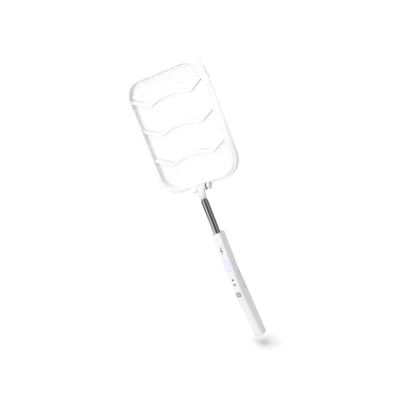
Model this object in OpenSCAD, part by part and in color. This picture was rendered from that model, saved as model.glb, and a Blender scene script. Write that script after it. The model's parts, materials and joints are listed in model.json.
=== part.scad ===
// Folding electric fly swatter: a netted head on a friction hinge, a three-draw telescopic
// pole and a rechargeable handle. It is drawn upright, shut and unfolded: the pole's axis is
// the Z axis, the handle ends at z = 0 and the net faces -Y.

/* [Head] */
// Height of the head
head_h = 270; // [250:5:290]
// Width of the head across its far end
head_w = 206; // [200:2:212]
// How much narrower the head is at its hinge end
head_taper = 3; // [0:0.5:6]
// Outer corner radius
head_r = 46; // [42:1:50]
// Width of the frame's bar
bar_w = 11; // [10.5:0.5:12.5]
// How far the head's front face lies behind the pole's axis
head_y = 12.5; // [12:0.5:15]
// Thickness of the head, front to back
head_t = 20; // [20:0.5:24]
// Height of a rib's band
rib_w = 7; // [5:0.5:9]

/* [Nets] */
// Thickness of a net's sheet
net_t = 0.6; // [0.5:0.1:0.8]
// Gap between one net and the next
net_gap = 1.8; // [1.6:0.1:2]
// Width of one diamond in a guard net
cell_w = 15; // [14:1:24]
// Height of one diamond in a guard net
cell_h = 19; // [18:1:30]
// Width of the metal between openings
strand_w = 1.6; // [1.2:0.1:2.2]

/* [Hinge] */
// Radius of the knuckle and of the ears
knuckle_r = 7.5; // [7:0.1:8]
// Half the width of the knuckle
knuckle_half = 12; // [10:0.5:13]
// How far the plain ear reaches from the middle
ear_reach = 24; // [22:0.5:28]
// How far the capped ear reaches from the middle
cap_reach = 20.6; // [20:0.2:24]
// Depth of the hinge axis behind the pole's axis
hinge_y = 10; // [9:0.5:11]
// Drop of the hinge axis below the head
hinge_drop = 1.6; // [1:0.2:3]
// Radius of the hinge bolt
bolt_r = 3; // [2.5:0.25:3.5]

/* [Pole] */
// Outer radius of the outermost tube
tube_r = 8.5; // [8:0.1:9]
// Length of the outermost tube that shows above the handle
tube_shown = 75; // [60:1:90]
// Length of the outermost tube inside the handle
tube_held = 45; // [40:1:48]

/* [Handle] */
// Length of the handle
handle_l = 248; // [242:1:250]
// Width of the handle, side to side
handle_w = 21.5; // [21:0.5:24]
// Front face of the straight part, ahead of the pole's axis
handle_front = 11; // [10.8:0.2:12]
// Rear face of the straight part, behind the pole's axis
handle_rear = 16.5; // [16:0.5:18]
// Radius of the long corners
handle_r = 3; // [2.4:0.2:4]
// Thickness of the handle's walls
wall = 1.8; // [1.6:0.1:2]

/* [Controls] */
// Width of the power button
button_w = 14; // [12:0.5:15]
// Height of the power button
button_h = 27; // [22:1:30]
// Middle of the power button above the handle's end
button_z = 174; // [170:1:178]
// Travel of the power button
button_travel = 1.2; // [0.8:0.1:1.3]
// Length of the mode slider's recess
slot_l = 45; // [42:1:46]
// Length of the mode slider
slider_l = 24; // [20:1:26]
// Middle of the mode slider above the handle's end
slider_z = 134; // [130:1:136]

/* [Power] */
// Radius of the battery cell
cell_r = 7.1; // [7:0.1:7.2]
// Length of the battery cell
cell_l = 50; // [48:1:52]

/* [Hidden] */
$fn = 48;

white = [0.95, 0.95, 0.96];
shade = [0.88, 0.88, 0.91];
grey = [0.72, 0.72, 0.75];
dark = [0.16, 0.16, 0.18];
steel = [0.72, 0.73, 0.76];
brass = [0.80, 0.66, 0.36];
copper = [0.75, 0.45, 0.25];
board_green = [0.10, 0.40, 0.26];

run_gap = 0.05;

// Levels up the pole.
tube_bottom = handle_l - tube_held;
tube_top = handle_l + tube_shown;
draw_top = tube_top + 5.2;
neck_bottom = draw_top + 0.5;
head_z = handle_l + 104;
hinge_z = head_z - hinge_drop;

// Depths through the head, front to back.
rim_step = 1;
face_y = head_y + 2 * rim_step;
face_t = 1.6;
net1_y = head_y + 8.5;
grid_y = net1_y + net_t + net_gap;
grid_t = 0.8;
net2_y = grid_y + grid_t + net_gap;
head_back = head_y + head_t;
part_y = head_y + 14.2;

// Insets from the head's outline.
rim_inset = 5.2;
frame_wall = 2.2;
lip_inset = bar_w - 2.4;
boss_inset = 5;
rear_inset = 0.8;

// Radii of the pole's draws, largest first.
tube_wall = 0.8;
tube_in = tube_r - tube_wall;
mid_r = tube_in - 0.4;
mid_in = mid_r - 0.6;
inner_r = mid_in - 0.6;
inner_in = inner_r - 0.6;
bush_l = 12;

// ---------------------------------------------------------------- head outline

arc_steps = 9;
lean = atan(head_taper / 2 / head_h);
function side_x(z) = head_w / 2 - head_taper / 2 * (1 - z / head_h);
function arc_points(cx, cz, r, from, to) = [for (i = [0:arc_steps])
    let (a = from + (to - from) * i / arc_steps) [cx + r * cos(a), cz + r * sin(a)]];
function corner_x(z) = side_x(z) - head_r / cos(lean);
// The head's rounded, slightly tapering outline, moved inwards by inset.
function outline(inset) = let (r = head_r - inset, top = head_h - head_r)
    concat(arc_points(corner_x(head_r), head_r, r, -90, -lean),
           arc_points(corner_x(top), top, r, -lean, 90),
           arc_points(-corner_x(top), top, r, 90, 180 + lean),
           arc_points(-corner_x(head_r), head_r, r, 180 + lean, 270));

// Takes a flat shape in x and z, drawn from the head's lower edge, to depths y0 to y1.
module through(y0, y1) {
    translate([0, y1, head_z]) rotate([90, 0, 0]) linear_extrude(y1 - y0) children();
}
module ring(y0, y1, outer, inner) {
    through(y0, y1) difference() {
        polygon(outline(outer));
        polygon(outline(inner));
    }
}
// A cylinder along Y at x and z measured from the head's lower edge.
module post(x, z, y0, y1, r) {
    translate([x, y1, head_z + z]) rotate([90, 0, 0]) cylinder(r = r, h = y1 - y0);
}
// A cylinder along X on the hinge axis.
module on_hinge(x0, x1, r) {
    translate([x0, hinge_y, hinge_z]) rotate([0, 90, 0]) cylinder(r = r, h = x1 - x0);
}

// Screw places around the frame: two on each side.
side_post_x = side_x(head_h / 2) - boss_inset;
screw_places = [[side_post_x - 0.4, 70], [side_post_x + 0.3, 200],
                [-side_post_x + 0.4, 70], [-side_post_x - 0.3, 200],
                [45, head_h - boss_inset], [-45, head_h - boss_inset],
                [62, boss_inset], [-62, boss_inset]];

// Wing ribs: straight ends that climb to the frame and an arched middle.
rib_kinks = [65.5, 133.6, 201.7];
rib_rise = 20.4;
rib_dome = 10.5;
rib_kink_x = 51;
function open_x(z) = side_x(z) - bar_w;
function rib_z(x, end_x) = abs(x) < rib_kink_x
    ? rib_dome * (1 - pow(x / rib_kink_x, 2))
    : rib_rise * (abs(x) - rib_kink_x) / (end_x - rib_kink_x);
module rib(kink_z, y0, y1) {
    end_x = open_x(kink_z + rib_rise) + 1;
    xs = concat([-end_x], [for (i = [-6:6]) rib_kink_x * i / 6], [end_x]);
    through(y0, y1) polygon(concat(
        [for (x = xs) [x, kink_z + rib_z(x, end_x) - rib_w / 2]],
        [for (i = [len(xs) - 1:-1:0]) [xs[i], kink_z + rib_z(xs[i], end_x) + rib_w / 2]]));
}

washer_room = 3.9;
ear_gap = 0.3;
disc_t = 2.2;

module ear(x0, x1) {
    hull() {
        on_hinge(x0, x1, knuckle_r);
        translate([x0, face_y, head_z]) cube([x1 - x0, part_y - face_y - 1, 6]);
    }
}

module head_front_frame() {
    color(white) difference() {
        union() {
            ring(head_y, head_y + rim_step, rim_inset, bar_w);
            ring(head_y + rim_step, face_y, 1.6, bar_w);
            ring(face_y, face_y + face_t, 0, bar_w);
            ring(face_y + face_t, part_y, 0, frame_wall);
            ring(face_y + face_t, net1_y, lip_inset, bar_w);
            for (z = rib_kinks) rib(z, net1_y - 3.5, net1_y);
            for (p = screw_places) post(p[0], p[1], face_y + face_t, part_y, 3);
            ear(-ear_reach, -knuckle_half - ear_gap);
            ear(knuckle_half + washer_room, cap_reach);
        }
        on_hinge(-knuckle_half - ear_gap, knuckle_half + washer_room, knuckle_r + 0.7);
        on_hinge(-ear_reach - 1, cap_reach + 1, bolt_r);
        on_hinge(cap_reach - 2.4, cap_reach + 1, 5.2);
        on_hinge(cap_reach, cap_reach + 3, knuckle_r);
        on_hinge(-ear_reach - 1, -ear_reach + 3, 4.8);
        for (p = screw_places) post(p[0], p[1], part_y - 8, part_y + 1, 1.1);
    }
}

module head_rear_frame() {
    plate_y = head_back - 1.8;
    color(shade) difference() {
        union() {
            ring(plate_y + 1, head_back, 2, bar_w);
            ring(plate_y, plate_y + 1, rear_inset, bar_w);
            ring(part_y, plate_y, rear_inset, rear_inset + 2);
            ring(net2_y + net_t, plate_y, lip_inset, bar_w);
            for (z = rib_kinks) rib(z, net2_y + net_t, net2_y + net_t + 3);
            for (p = screw_places) post(p[0], p[1], part_y, plate_y, 3.2);
        }
        for (p = screw_places) {
            post(p[0], p[1], part_y - 1, head_back + 1, 1.5);
            post(p[0], p[1], head_back - 1.6, head_back + 1, 2.8);
        }
    }
}

// ---------------------------------------------------------------- nets

// True where a whole opening centred on x, z lies inside the net's border.
border = lip_inset + 3.6;
function inside_border(x, z, half_w, half_h) =
    let (r = head_r - border, cx = corner_x(z < head_h / 2 ? head_r : head_h - head_r),
         reach_x = side_x(z) - border, ax = abs(x) + half_w * 0.6,
         az = max(head_r - z, z - head_h + head_r) + half_h * 0.6)
    abs(x) + half_w <= reach_x && z - half_h >= border && z + half_h <= head_h - border
        && (ax < cx || az < 0 || norm([ax - cx, az]) <= r);

function diamond(x, z) = let (w = cell_w / 2 - strand_w * 0.8, h = cell_h / 2 - strand_w)
    [[x - w, z], [x, z - h], [x + w, z], [x, z + h]];

cell_rows = ceil(head_h / cell_h) * 2;
cell_columns = ceil(head_w / cell_w / 2);
diamonds = [for (j = [1:cell_rows]) for (i = [-cell_columns:cell_columns])
    let (x = (i + (j % 2) / 2) * cell_w, z = j * cell_h / 2)
    if (inside_border(x, z, cell_w / 2, cell_h / 2)) diamond(x, z)];

slot_pitch = 7.2;
slot_w = 5.6;
function bar_slot(x, z0, z1) =
    [[x - slot_w / 2, z0], [x + slot_w / 2, z0], [x + slot_w / 2, z1], [x - slot_w / 2, z1]];
grid_columns = 11;
grid_rows = 3;
function slot_end(x) = let (over = abs(x) + slot_w / 2 - corner_x(head_r), r = head_r - border)
    over < 0 ? border : head_r - sqrt(max(r * r - over * over, 0));
bar_slots = [for (i = [-grid_columns:grid_columns]) let (x = i * slot_pitch,
        low = slot_end(x), high = head_h - slot_end(x)) for (k = [0:grid_rows - 1])
    bar_slot(x, low + (high - low) * k / grid_rows + 0.8,
             low + (high - low) * (k + 1) / grid_rows - 0.8)];

// A sheet with the given openings, as one outline and its holes.
module sheet(y0, t, inset, holes) {
    edge = outline(inset);
    hole_points = [for (h = holes) for (p = h) p];
    through(y0, y0 + t) polygon(concat(edge, hole_points), concat(
        [[for (i = [0:len(edge) - 1]) i]],
        [for (k = [0:len(holes) - 1]) [for (i = [0:3]) len(edge) + 4 * k + i]]));
}

module front_guard_net() { color(white) sheet(net1_y, net_t, lip_inset, diamonds); }
module rear_guard_net() { color(white) sheet(net2_y, net_t, lip_inset, diamonds); }
module high_voltage_grid() { color(steel) sheet(grid_y, grid_t, lip_inset, bar_slots); }
module front_net_spacer() {
    color(shade) ring(net1_y + net_t, grid_y, lip_inset, bar_w);
}
module rear_net_spacer() {
    color(shade) ring(grid_y + grid_t, net2_y, lip_inset, bar_w);
}

// Brass tabs that take the high voltage to the three nets, in the hollow of the lower bar.
module grid_terminals() {
    foot = frame_wall + 1;
    color(brass) for (tab = [[-34, net1_y], [28, grid_y], [38, net2_y]])
        translate([tab[0], tab[1], head_z + foot]) cube([5, 0.5, lip_inset - foot]);
}

module head_screws() {
    color(steel) for (p = screw_places) {
        post(p[0], p[1], part_y - 7, head_back - 1.6, 1.1);
        difference() {
            post(p[0], p[1], head_back - 1.6, head_back - 0.3, 2.5);
            post(p[0], p[1], head_back - 1, head_back, 1, $fn = 6);
        }
    }
}

// ---------------------------------------------------------------- hinge and neck

module hinge_bolt() {
    color(steel) union() {
        on_hinge(-ear_reach + 0.4, cap_reach - 2.4, bolt_r);
        on_hinge(cap_reach - 2.4, cap_reach - 0.2, 5);
    }
}
module hinge_nut() {
    color(steel) difference() {
        on_hinge(-ear_reach + 0.5, -ear_reach + 3, 4.6, $fn = 6);
        on_hinge(-ear_reach, -ear_reach + 4, bolt_r);
    }
}
module hinge_cap() {
    color(grey) union() {
        on_hinge(cap_reach, cap_reach + 1, knuckle_r - 0.2);
        on_hinge(cap_reach + 1, cap_reach + 1.6, knuckle_r - 1.2);
    }
}
module detent_disc() {
    color(dark) difference() {
        on_hinge(knuckle_half, knuckle_half + disc_t, knuckle_r - 0.8);
        on_hinge(knuckle_half - 1, knuckle_half + disc_t + 1, bolt_r + run_gap);
    }
}
module spring_washer() {
    color(dark) difference() {
        on_hinge(knuckle_half + disc_t, knuckle_half + washer_room - 0.3, knuckle_r - 1.6);
        on_hinge(knuckle_half, knuckle_half + washer_room, bolt_r + run_gap);
    }
}

collar_top = neck_bottom + 6.5;
module neck() {
    color(white) difference() {
        union() {
            on_hinge(-knuckle_half, knuckle_half, knuckle_r);
            hull() {
                on_hinge(-8.8, 8.8, knuckle_r - 1);
                translate([0, 0, collar_top]) cylinder(r = tube_r - 0.3, h = 2);
            }
            translate([0, 0, neck_bottom])
                cylinder(r1 = inner_r + 1.2, r2 = tube_r - 0.3, h = collar_top - neck_bottom);
        }
        translate([0, 0, neck_bottom - 1]) cylinder(r = inner_r, h = 10.8);
        on_hinge(-knuckle_half - 1, knuckle_half + 1, bolt_r + run_gap);
        translate([-10, 0, collar_top]) rotate([0, 90, 0]) cylinder(r = 1.25, h = 20);
    }
}
module neck_pin() {
    color(steel) translate([-tube_r + 0.8, 0, collar_top]) rotate([0, 90, 0])
        cylinder(r = 1.25, h = 2 * tube_r - 1.6);
}

// ---------------------------------------------------------------- pole

// A drawn tube: straight, then spun in at its mouth over the last few millimetres.
module drawn_tube(bottom, top, r_out, r_in, mouth_out, mouth_in, spin) {
    steps = 5;
    function eased(t) = 1 - cos(90 * t);
    outer = [for (i = [0:steps]) [r_out - (r_out - mouth_out) * eased(i / steps),
                                  top - spin + spin * i / steps]];
    inner = [for (i = [steps:-1:0]) [r_in - (r_in - mouth_in) * eased(i / steps),
                                     top - spin + spin * i / steps]];
    rotate_extrude() polygon(concat([[r_in, bottom], [r_out, bottom]], outer,
        [[mouth_in, top]], [for (i = [1:steps]) inner[i]]));
}
module sleeve(bottom, top, r_out, r_in) {
    translate([0, 0, bottom]) difference() {
        cylinder(r = r_out, h = top - bottom);
        translate([0, 0, -1]) cylinder(r = r_in, h = top - bottom + 2);
    }
}

mid_bottom = tube_bottom + 6.6;
inner_bottom = mid_bottom + 4;

module outer_tube() {
    color(steel)
        drawn_tube(tube_bottom, tube_top, tube_r, tube_in, mid_r + 0.7, mid_r + run_gap, 6.5);
}
module middle_tube() {
    color(steel)
        drawn_tube(mid_bottom, draw_top, mid_r, mid_in, inner_r + 0.5, inner_r + run_gap, 4);
}
module inner_tube() {
    color(steel) difference() {
        sleeve(inner_bottom, neck_bottom + 9.4, inner_r, inner_in);
        translate([-10, 0, collar_top]) rotate([0, 90, 0]) cylinder(r = 1.25, h = 20);
    }
}
module middle_tube_bush() {
    color(brass) sleeve(mid_bottom, mid_bottom + bush_l, tube_in - run_gap, mid_r);
}
module inner_tube_bush() {
    color(brass) sleeve(inner_bottom, inner_bottom + bush_l, mid_in - run_gap, inner_r);
}
module tube_base_plug() {
    color(grey) difference() {
        union() {
            translate([0, 0, tube_bottom - 2]) cylinder(r = tube_r, h = 2);
            translate([0, 0, tube_bottom]) cylinder(r = tube_in, h = 5);
        }
        translate([0, 0, tube_bottom - 3]) cylinder(r = 2.5, h = 10);
    }
}
// The high-voltage lead, coiled so that it can follow the pole as it draws out.
module coiled_lead() {
    color(dark) sleeve(inner_bottom + 1, collar_top - 2, 3.4, 1.2);
}

// ---------------------------------------------------------------- handle

// A bend of unit slope that starts softly within k of s = 0.
function soft(s, k) = s < -k ? 0 : s > k ? s : pow(s + k, 2) / (4 * k);
function front_at(z) = -handle_front + 0.156 * soft(106 - z, 18);
function rear_at(z) = handle_rear + 0.137 * soft(158 - z, 14) - 0.061 * soft(102 - z, 14);
function middle_at(z) = (front_at(z) + rear_at(z)) / 2;
function part_at(z) = front_at(z) + 12;

handle_steps = [8, 26, 44, 62, 76, 88, 98, 108, 118, 128, 138, 148, 158, 170];
cap_top = handle_steps[0];

corner_steps = 4;
function round_rect(x, y0, y1, r) = [for (c = [[1, y0 + r, -90], [1, y1 - r, 0],
        [-1, y1 - r, 90], [-1, y0 + r, 180]]) for (i = [0:corner_steps])
    let (a = c[2] + 90 * i / corner_steps) [c[0] * (x - r) + r * cos(a), c[1] + r * sin(a)]];
function section(z, inset) = round_rect(handle_w / 2 - inset, front_at(z) + inset,
    rear_at(z) - inset, max(handle_r - inset, 0.8));
// A solid through the handle's sections, given as [height, inset] from the bottom up.
module swept(levels) {
    n = 4 * (corner_steps + 1);
    last = len(levels) - 1;
    polyhedron([for (l = levels) for (p = section(l[0], l[1])) [p[0], p[1], l[0]]], concat(
        [[for (i = [0:n - 1]) i]], [[for (i = [n - 1:-1:0]) last * n + i]],
        [for (j = [0:last - 1]) for (i = [0:n - 1]) let (k = (i + 1) % n)
            [j * n + i, (j + 1) * n + i, (j + 1) * n + k, j * n + k]]));
}
// All that lies in front of the parting surface between the shells.
module front_side(reach) {
    zs = [0, 62, 76, 88, 98, 108, 118, 128, 138, 148, 158, 170, handle_l + 5];
    rotate([90, 0, 90]) translate([0, 0, -20]) linear_extrude(40) polygon(concat(
        [for (z = zs) [part_at(z), z]], [[-reach, handle_l + 5], [-reach, 0]]));
}
// A slot-shaped plug along Y: w wide and h high about z.
module stadium(w, h, z, y0, y1) {
    translate([0, y1, z]) rotate([90, 0, 0]) linear_extrude(y1 - y0) union() {
        square([w, h - w], center = true);
        translate([0, (h - w) / 2]) circle(r = w / 2);
        translate([0, -(h - w) / 2]) circle(r = w / 2);
    }
}

lens_places = [140.6, 129.4];
lens_r = 2.1;
// Places of the long screws that join the shells, as x and z.
handle_screw_places = [[-5.6, 98], [5.6, 98]];
// Levels of the blocks that grip the pole, and of the short screws that hold them.
clamp_levels = [tube_bottom + 5, tube_bottom + 30];
clamp_h = 6;
clamp_screw_levels = [for (z = clamp_levels) z + clamp_h / 2];
clamp_head_y = handle_rear - 1.1;
board_post_places = [for (z = [112, 192]) for (x = [-6, 6]) [x, z]];
slider_y = 9.6;
slider_w = 6;
slider_travel = 6;
pocket_x = 8.3;

module handle_shell() {
    difference() {
        swept(concat([for (z = handle_steps) [z, 0]], [[handle_l - 0.8, 0], [handle_l, 0.7]]));
        swept([for (z = concat(cap_top - 1, handle_steps, handle_l + 2)) [z, wall]]);
    }
}
module along_y(x, z, y0, y1, r) {
    translate([x, y1, z]) rotate([90, 0, 0]) cylinder(r = r, h = y1 - y0, $fn = 20);
}
module handle_front_shell() {
    color(white) difference() {
        union() {
            intersection() {
                union() {
                    handle_shell();
                    for (p = handle_screw_places)
                        along_y(p[0], p[1], front_at(p[1]) + 1, part_at(p[1]) + 4, 2.6);
                }
                front_side(40);
            }
            for (p = board_post_places) {
                along_y(p[0], p[1], front_at(p[1]) + 1, board_y, 1.6);
                along_y(p[0], p[1], front_at(p[1]) + 1, board_back + 0.6, 0.8);
            }
        }
        stadium(button_w, button_h, button_z, -20, 0);
        for (z = lens_places) along_y(0, z, -20, 0, lens_r);
        for (p = handle_screw_places)
            along_y(p[0], p[1], front_at(p[1]) + 3, part_at(p[1]) + 1, 1.1);
    }
}
module handle_rear_shell() {
    slot_z = slider_z - slot_l / 2;
    color(white) difference() {
        union() {
            difference() {
                union() {
                    handle_shell();
                    for (p = handle_screw_places)
                        along_y(p[0], p[1], part_at(p[1]) - 4, rear_at(p[1]) - 0.5, 2.8);
                }
                front_side(40);
            }
            translate([pocket_x - 1.5, slider_y - 5, slot_z - 1.5])
                cube([handle_w / 2 - pocket_x, 10, slot_l + 3]);
        }
        translate([pocket_x, slider_y - 3.5, slot_z]) cube([10, 7, slot_l]);
        translate([pocket_x - 4, slider_y - 1.4, slider_z - 4 - slider_travel])
            cube([8, 2.8, 8 + 2 * slider_travel]);
        for (p = handle_screw_places) {
            along_y(p[0], p[1], 0, 40, 1.4);
            along_y(p[0], p[1], rear_at(p[1]) - 2, 40, 2.4);
        }
        for (z = clamp_screw_levels) {
            along_y(0, z, 10, 40, 1.4);
            along_y(0, z, clamp_head_y, 40, 2.4);
        }
    }
}
module handle_screws() {
    color(steel) for (p = handle_screw_places) {
        along_y(p[0], p[1], front_at(p[1]) + 4, rear_at(p[1]) - 2, 1.1);
        difference() {
            along_y(p[0], p[1], rear_at(p[1]) - 2, rear_at(p[1]) - 0.9, 2.2);
            translate([p[0], rear_at(p[1]), p[1]]) rotate([90, 0, 0])
                cylinder(r = 1, h = 1.5, $fn = 6);
        }
    }
}
module clamp_screws() {
    color(steel) for (z = clamp_screw_levels) {
        along_y(0, z, tube_r + 0.8, clamp_head_y, 1.1);
        difference() {
            along_y(0, z, clamp_head_y, clamp_head_y + 1, 2.2);
            translate([0, handle_rear, z]) rotate([90, 0, 0]) cylinder(r = 1, h = 0.7, $fn = 6);
        }
    }
}

socket_y = 17;
module end_cap() {
    color(white) difference() {
        union() {
            swept([[0, 1.2], [0.4, 0.6], [1.4, 0.15], [cap_top, 0]]);
            swept([[cap_top - 1, wall + 0.1], [cap_top + 2, wall + 0.1]]);
        }
        translate([-7, 9.8, 1.8]) cube([14, 16.5, 20]);
        translate([-4.75, socket_y - 1.9, -1]) cube([9.5, 3.8, 4]);
    }
}

// Blocks inside the shells that grip the outermost tube.
module tube_clamps() {
    inner = wall + 0.2;
    color(grey) for (z = clamp_levels) difference() {
        translate([0, 0, z]) linear_extrude(clamp_h) polygon(round_rect(handle_w / 2 - inner,
            -handle_front + inner, handle_rear - inner, 1));
        translate([0, 0, z - 1]) cylinder(r = tube_r, h = clamp_h + 2);
        along_y(0, z + clamp_h / 2, tube_r - 0.5, handle_rear, 1.1);
    }
}
module mouth_collar() {
    color(shade) difference() {
        translate([0, 0, handle_l - 4]) linear_extrude(3.4) polygon(round_rect(
            handle_w / 2 - wall - 0.1, -handle_front + wall + 0.1, handle_rear - wall - 0.1, 1));
        translate([0, 0, handle_l - 5]) cylinder(r = tube_r, h = 6);
    }
}

button_proud = 0.6;
flange_y = -handle_front + wall + 0.2;
flange_t = 1;
module power_button() {
    color([0.86, 0.92, 0.97]) union() {
        stadium(button_w - 0.4, button_h - 0.4, button_z, -handle_front - button_proud, flange_y);
        stadium(button_w + 2.2, button_h + 2.2, button_z, flange_y, flange_y + flange_t);
    }
}
module mode_slider() {
    grip_x = handle_w / 2 + 0.7;
    color(white) union() {
        difference() {
            translate([pocket_x + 0.15, slider_y - slider_w / 2, slider_z - slider_l / 2])
                cube([grip_x - pocket_x - 0.15, slider_w, slider_l]);
            for (k = [-3:3]) translate([grip_x - 0.5, slider_y - 5, slider_z + 3 * k - 0.5])
                cube([2, 10, 1]);
        }
        translate([pocket_x - 1.9, slider_y - 1.1, slider_z - 3.5]) cube([2.2, 2.2, 7]);
    }
}
module indicator_lenses() {
    color(dark) for (z = lens_places) {
        along_y(0, z, -handle_front - 0.05, flange_y + 0.6, lens_r - 0.02);
        along_y(0, z, flange_y, flange_y + 0.6, 2.9);
    }
}

// ---------------------------------------------------------------- electrics

board_y = -5.4;
board_t = 1.2;
board_back = board_y + board_t;
board_low = 108;
board_high = 195;
module on_board(x, z, size) {
    translate([x - size[0] / 2, board_back, z - size[2] / 2]) cube(size);
}
module circuit_board() {
    color(board_green) difference() {
        translate([-8.3, board_y, board_low]) cube([16.6, board_t, board_high - board_low]);
        for (p = board_post_places) along_y(p[0], p[1], -10, 0, 0.85);
    }
}
module push_switch() {
    color(dark) union() {
        translate([-3, board_y - 1, button_z - 3]) cube([6, 1, 6]);
        along_y(0, button_z, flange_y + flange_t + button_travel + 0.1, board_y - 1, 1.6);
    }
}
module indicator_leds() {
    color([0.9, 0.5, 0.4]) for (z = lens_places) {
        along_y(0, z, board_y - 2.6, board_y, 1.5);
    }
}
module step_up_transformer() {
    color(copper) difference() {
        on_board(0, 183, [13, 11, 16]);
        on_board(-5.9, 183, [3, 8, 9]);
        on_board(5.9, 183, [3, 8, 9]);
    }
}
module high_voltage_capacitors() {
    color([0.62, 0.22, 0.16]) for (z = [156, 166]) on_board(1.5, z, [11, 5, 7]);
}
module rectifier_diodes() {
    color(dark) for (x = [-6.6, -3]) translate([x, board_back + 1.5, 142])
        cylinder(r = 1.5, h = 8);
}
module oscillator_transistor() {
    color(dark) on_board(3.5, 147, [5, 4, 6]);
}
module controller_chip() {
    color(dark) on_board(0, 118, [5, 1.4, 6]);
}
module slide_switch() {
    back_x = pocket_x - 1.5;
    color(steel) difference() {
        translate([2.4, slider_y - 3, slider_z - 12]) cube([back_x - 2.4, 6, 24]);
        translate([back_x - 0.8, slider_y - 1.4, slider_z - 10]) cube([2, 2.8, 20]);
    }
}

cell_z = 22;
cell_tilt = atan((middle_at(cell_z + cell_l) - middle_at(cell_z)) / cell_l);
module along_cell() {
    translate([0, middle_at(cell_z), cell_z]) rotate([-cell_tilt, 0, 0]) children();
}
module battery_cell() {
    color([0.30, 0.55, 0.50]) along_cell() {
        cylinder(r = cell_r, h = cell_l - 1);
        translate([0, 0, cell_l - 1]) cylinder(r = 2.8, h = 1);
    }
}
module battery_tabs() {
    color(steel) along_cell() {
        translate([-3, -5, -0.4]) cube([6, 10, 0.4]);
        translate([-2.5, -5, cell_l]) cube([5, 10, 0.4]);
    }
}
module battery_cradles() {
    color(shade) along_cell() for (z = [6, 38]) difference() {
        translate([-handle_w / 2 + wall + 0.2, -11.7, z])
            cube([handle_w - 2 * wall - 0.4, 23.4, 5]);
        translate([0, 0, z - 1]) cylinder(r = cell_r, h = 7);
    }
}
module battery_leads() {
    lead_top = board_low + 4;
    cell_top_y = middle_at(cell_z + cell_l);
    color([0.75, 0.12, 0.12]) for (x = [-1.2, 1.2]) hull() {
        translate([x, cell_top_y - 4, cell_z + cell_l + 2]) sphere(r = 0.8, $fn = 8);
        translate([x, board_back + 0.9, lead_top]) sphere(r = 0.8, $fn = 8);
    }
}
module charge_board() {
    color(board_green) translate([-6.5, socket_y + 1.65, 2]) cube([13, 1, 15]);
}
module charging_socket() {
    color(steel) difference() {
        translate([-4.5, socket_y - 1.65, 0.6]) cube([9, 3.3, 7.4]);
        translate([-4, socket_y - 1.2, -1]) cube([8, 2.4, 7]);
    }
}

head_front_frame();
head_rear_frame();
front_guard_net();
rear_guard_net();
high_voltage_grid();
front_net_spacer();
rear_net_spacer();
grid_terminals();
head_screws();
hinge_bolt();
hinge_nut();
hinge_cap();
detent_disc();
spring_washer();
neck();
neck_pin();
inner_tube();
inner_tube_bush();
middle_tube();
middle_tube_bush();
outer_tube();
tube_base_plug();
tube_clamps();
mouth_collar();
coiled_lead();
handle_front_shell();
handle_rear_shell();
handle_screws();
clamp_screws();
end_cap();
power_button();
mode_slider();
indicator_lenses();
indicator_leds();
circuit_board();
push_switch();
slide_switch();
step_up_transformer();
high_voltage_capacitors();
rectifier_diodes();
oscillator_transistor();
controller_chip();
charge_board();
charging_socket();
battery_cell();
battery_tabs();
battery_cradles();
battery_leads();
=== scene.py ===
# %% [markdown]
# # An electric fly swatter, finished around its frame
# The frame holds every part of the swatter at its true size and place, as plain solids. This lesson
# dresses it: smooth mouldings for the head and the handle, fine nets, a bright drawn pole, and a
# finish for each material. Everything is in metres, upright, with the pole along Z and the net
# facing -Y, so each new piece goes straight to the place that the frame gives.

# %% Load the frame
import json
import math

import bmesh
import bpy
from mathutils import Matrix, Quaternion, Vector


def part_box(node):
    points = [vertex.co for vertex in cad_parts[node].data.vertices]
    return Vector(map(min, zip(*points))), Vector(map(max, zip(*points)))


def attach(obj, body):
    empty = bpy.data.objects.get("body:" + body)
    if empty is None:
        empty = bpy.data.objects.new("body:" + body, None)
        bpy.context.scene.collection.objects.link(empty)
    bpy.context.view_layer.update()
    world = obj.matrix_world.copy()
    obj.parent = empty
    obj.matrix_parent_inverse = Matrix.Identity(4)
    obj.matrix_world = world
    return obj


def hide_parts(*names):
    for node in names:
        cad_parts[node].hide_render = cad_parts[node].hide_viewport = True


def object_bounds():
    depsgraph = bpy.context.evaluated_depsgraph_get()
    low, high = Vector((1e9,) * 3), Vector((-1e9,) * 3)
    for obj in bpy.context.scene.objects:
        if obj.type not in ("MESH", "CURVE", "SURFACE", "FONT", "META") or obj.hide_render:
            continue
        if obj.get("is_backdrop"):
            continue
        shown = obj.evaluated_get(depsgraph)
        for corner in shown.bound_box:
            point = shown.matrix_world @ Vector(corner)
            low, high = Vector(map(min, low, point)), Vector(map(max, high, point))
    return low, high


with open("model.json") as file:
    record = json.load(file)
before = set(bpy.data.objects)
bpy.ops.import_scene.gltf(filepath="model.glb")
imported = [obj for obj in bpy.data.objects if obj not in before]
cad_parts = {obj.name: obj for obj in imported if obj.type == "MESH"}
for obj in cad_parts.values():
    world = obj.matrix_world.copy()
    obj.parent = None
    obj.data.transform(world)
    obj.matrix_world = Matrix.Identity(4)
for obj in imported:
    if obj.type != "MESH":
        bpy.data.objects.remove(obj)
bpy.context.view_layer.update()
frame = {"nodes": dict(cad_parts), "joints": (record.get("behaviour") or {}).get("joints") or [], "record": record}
MM = 0.001

# %% [markdown]
# Materials, light and repeated shapes are all small node trees. One helper fills a node's inputs,
# each with a value or with what another node puts out, and one adds a node with its settings.


# %% Node helpers
def fill(node, inputs):
    """Fills inputs given as {name or number: value, node or output}; returns the node."""
    for key, value in inputs.items():
        if isinstance(value, bpy.types.Node):
            value = value.outputs[0]
        if isinstance(value, bpy.types.NodeSocket):
            node.id_data.links.new(value, node.inputs[key])
        else:
            node.inputs[key].default_value = value
    return node


def add_node(tree, kind, inputs=None, **settings):
    node = tree.nodes.new(kind)
    for title, value in settings.items():
        setattr(node, title, value)
    return fill(node, inputs or {})


def math_node(tree, operation, *values):
    return add_node(tree, "ShaderNodeMath", dict(enumerate(values)), operation=operation)


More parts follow.
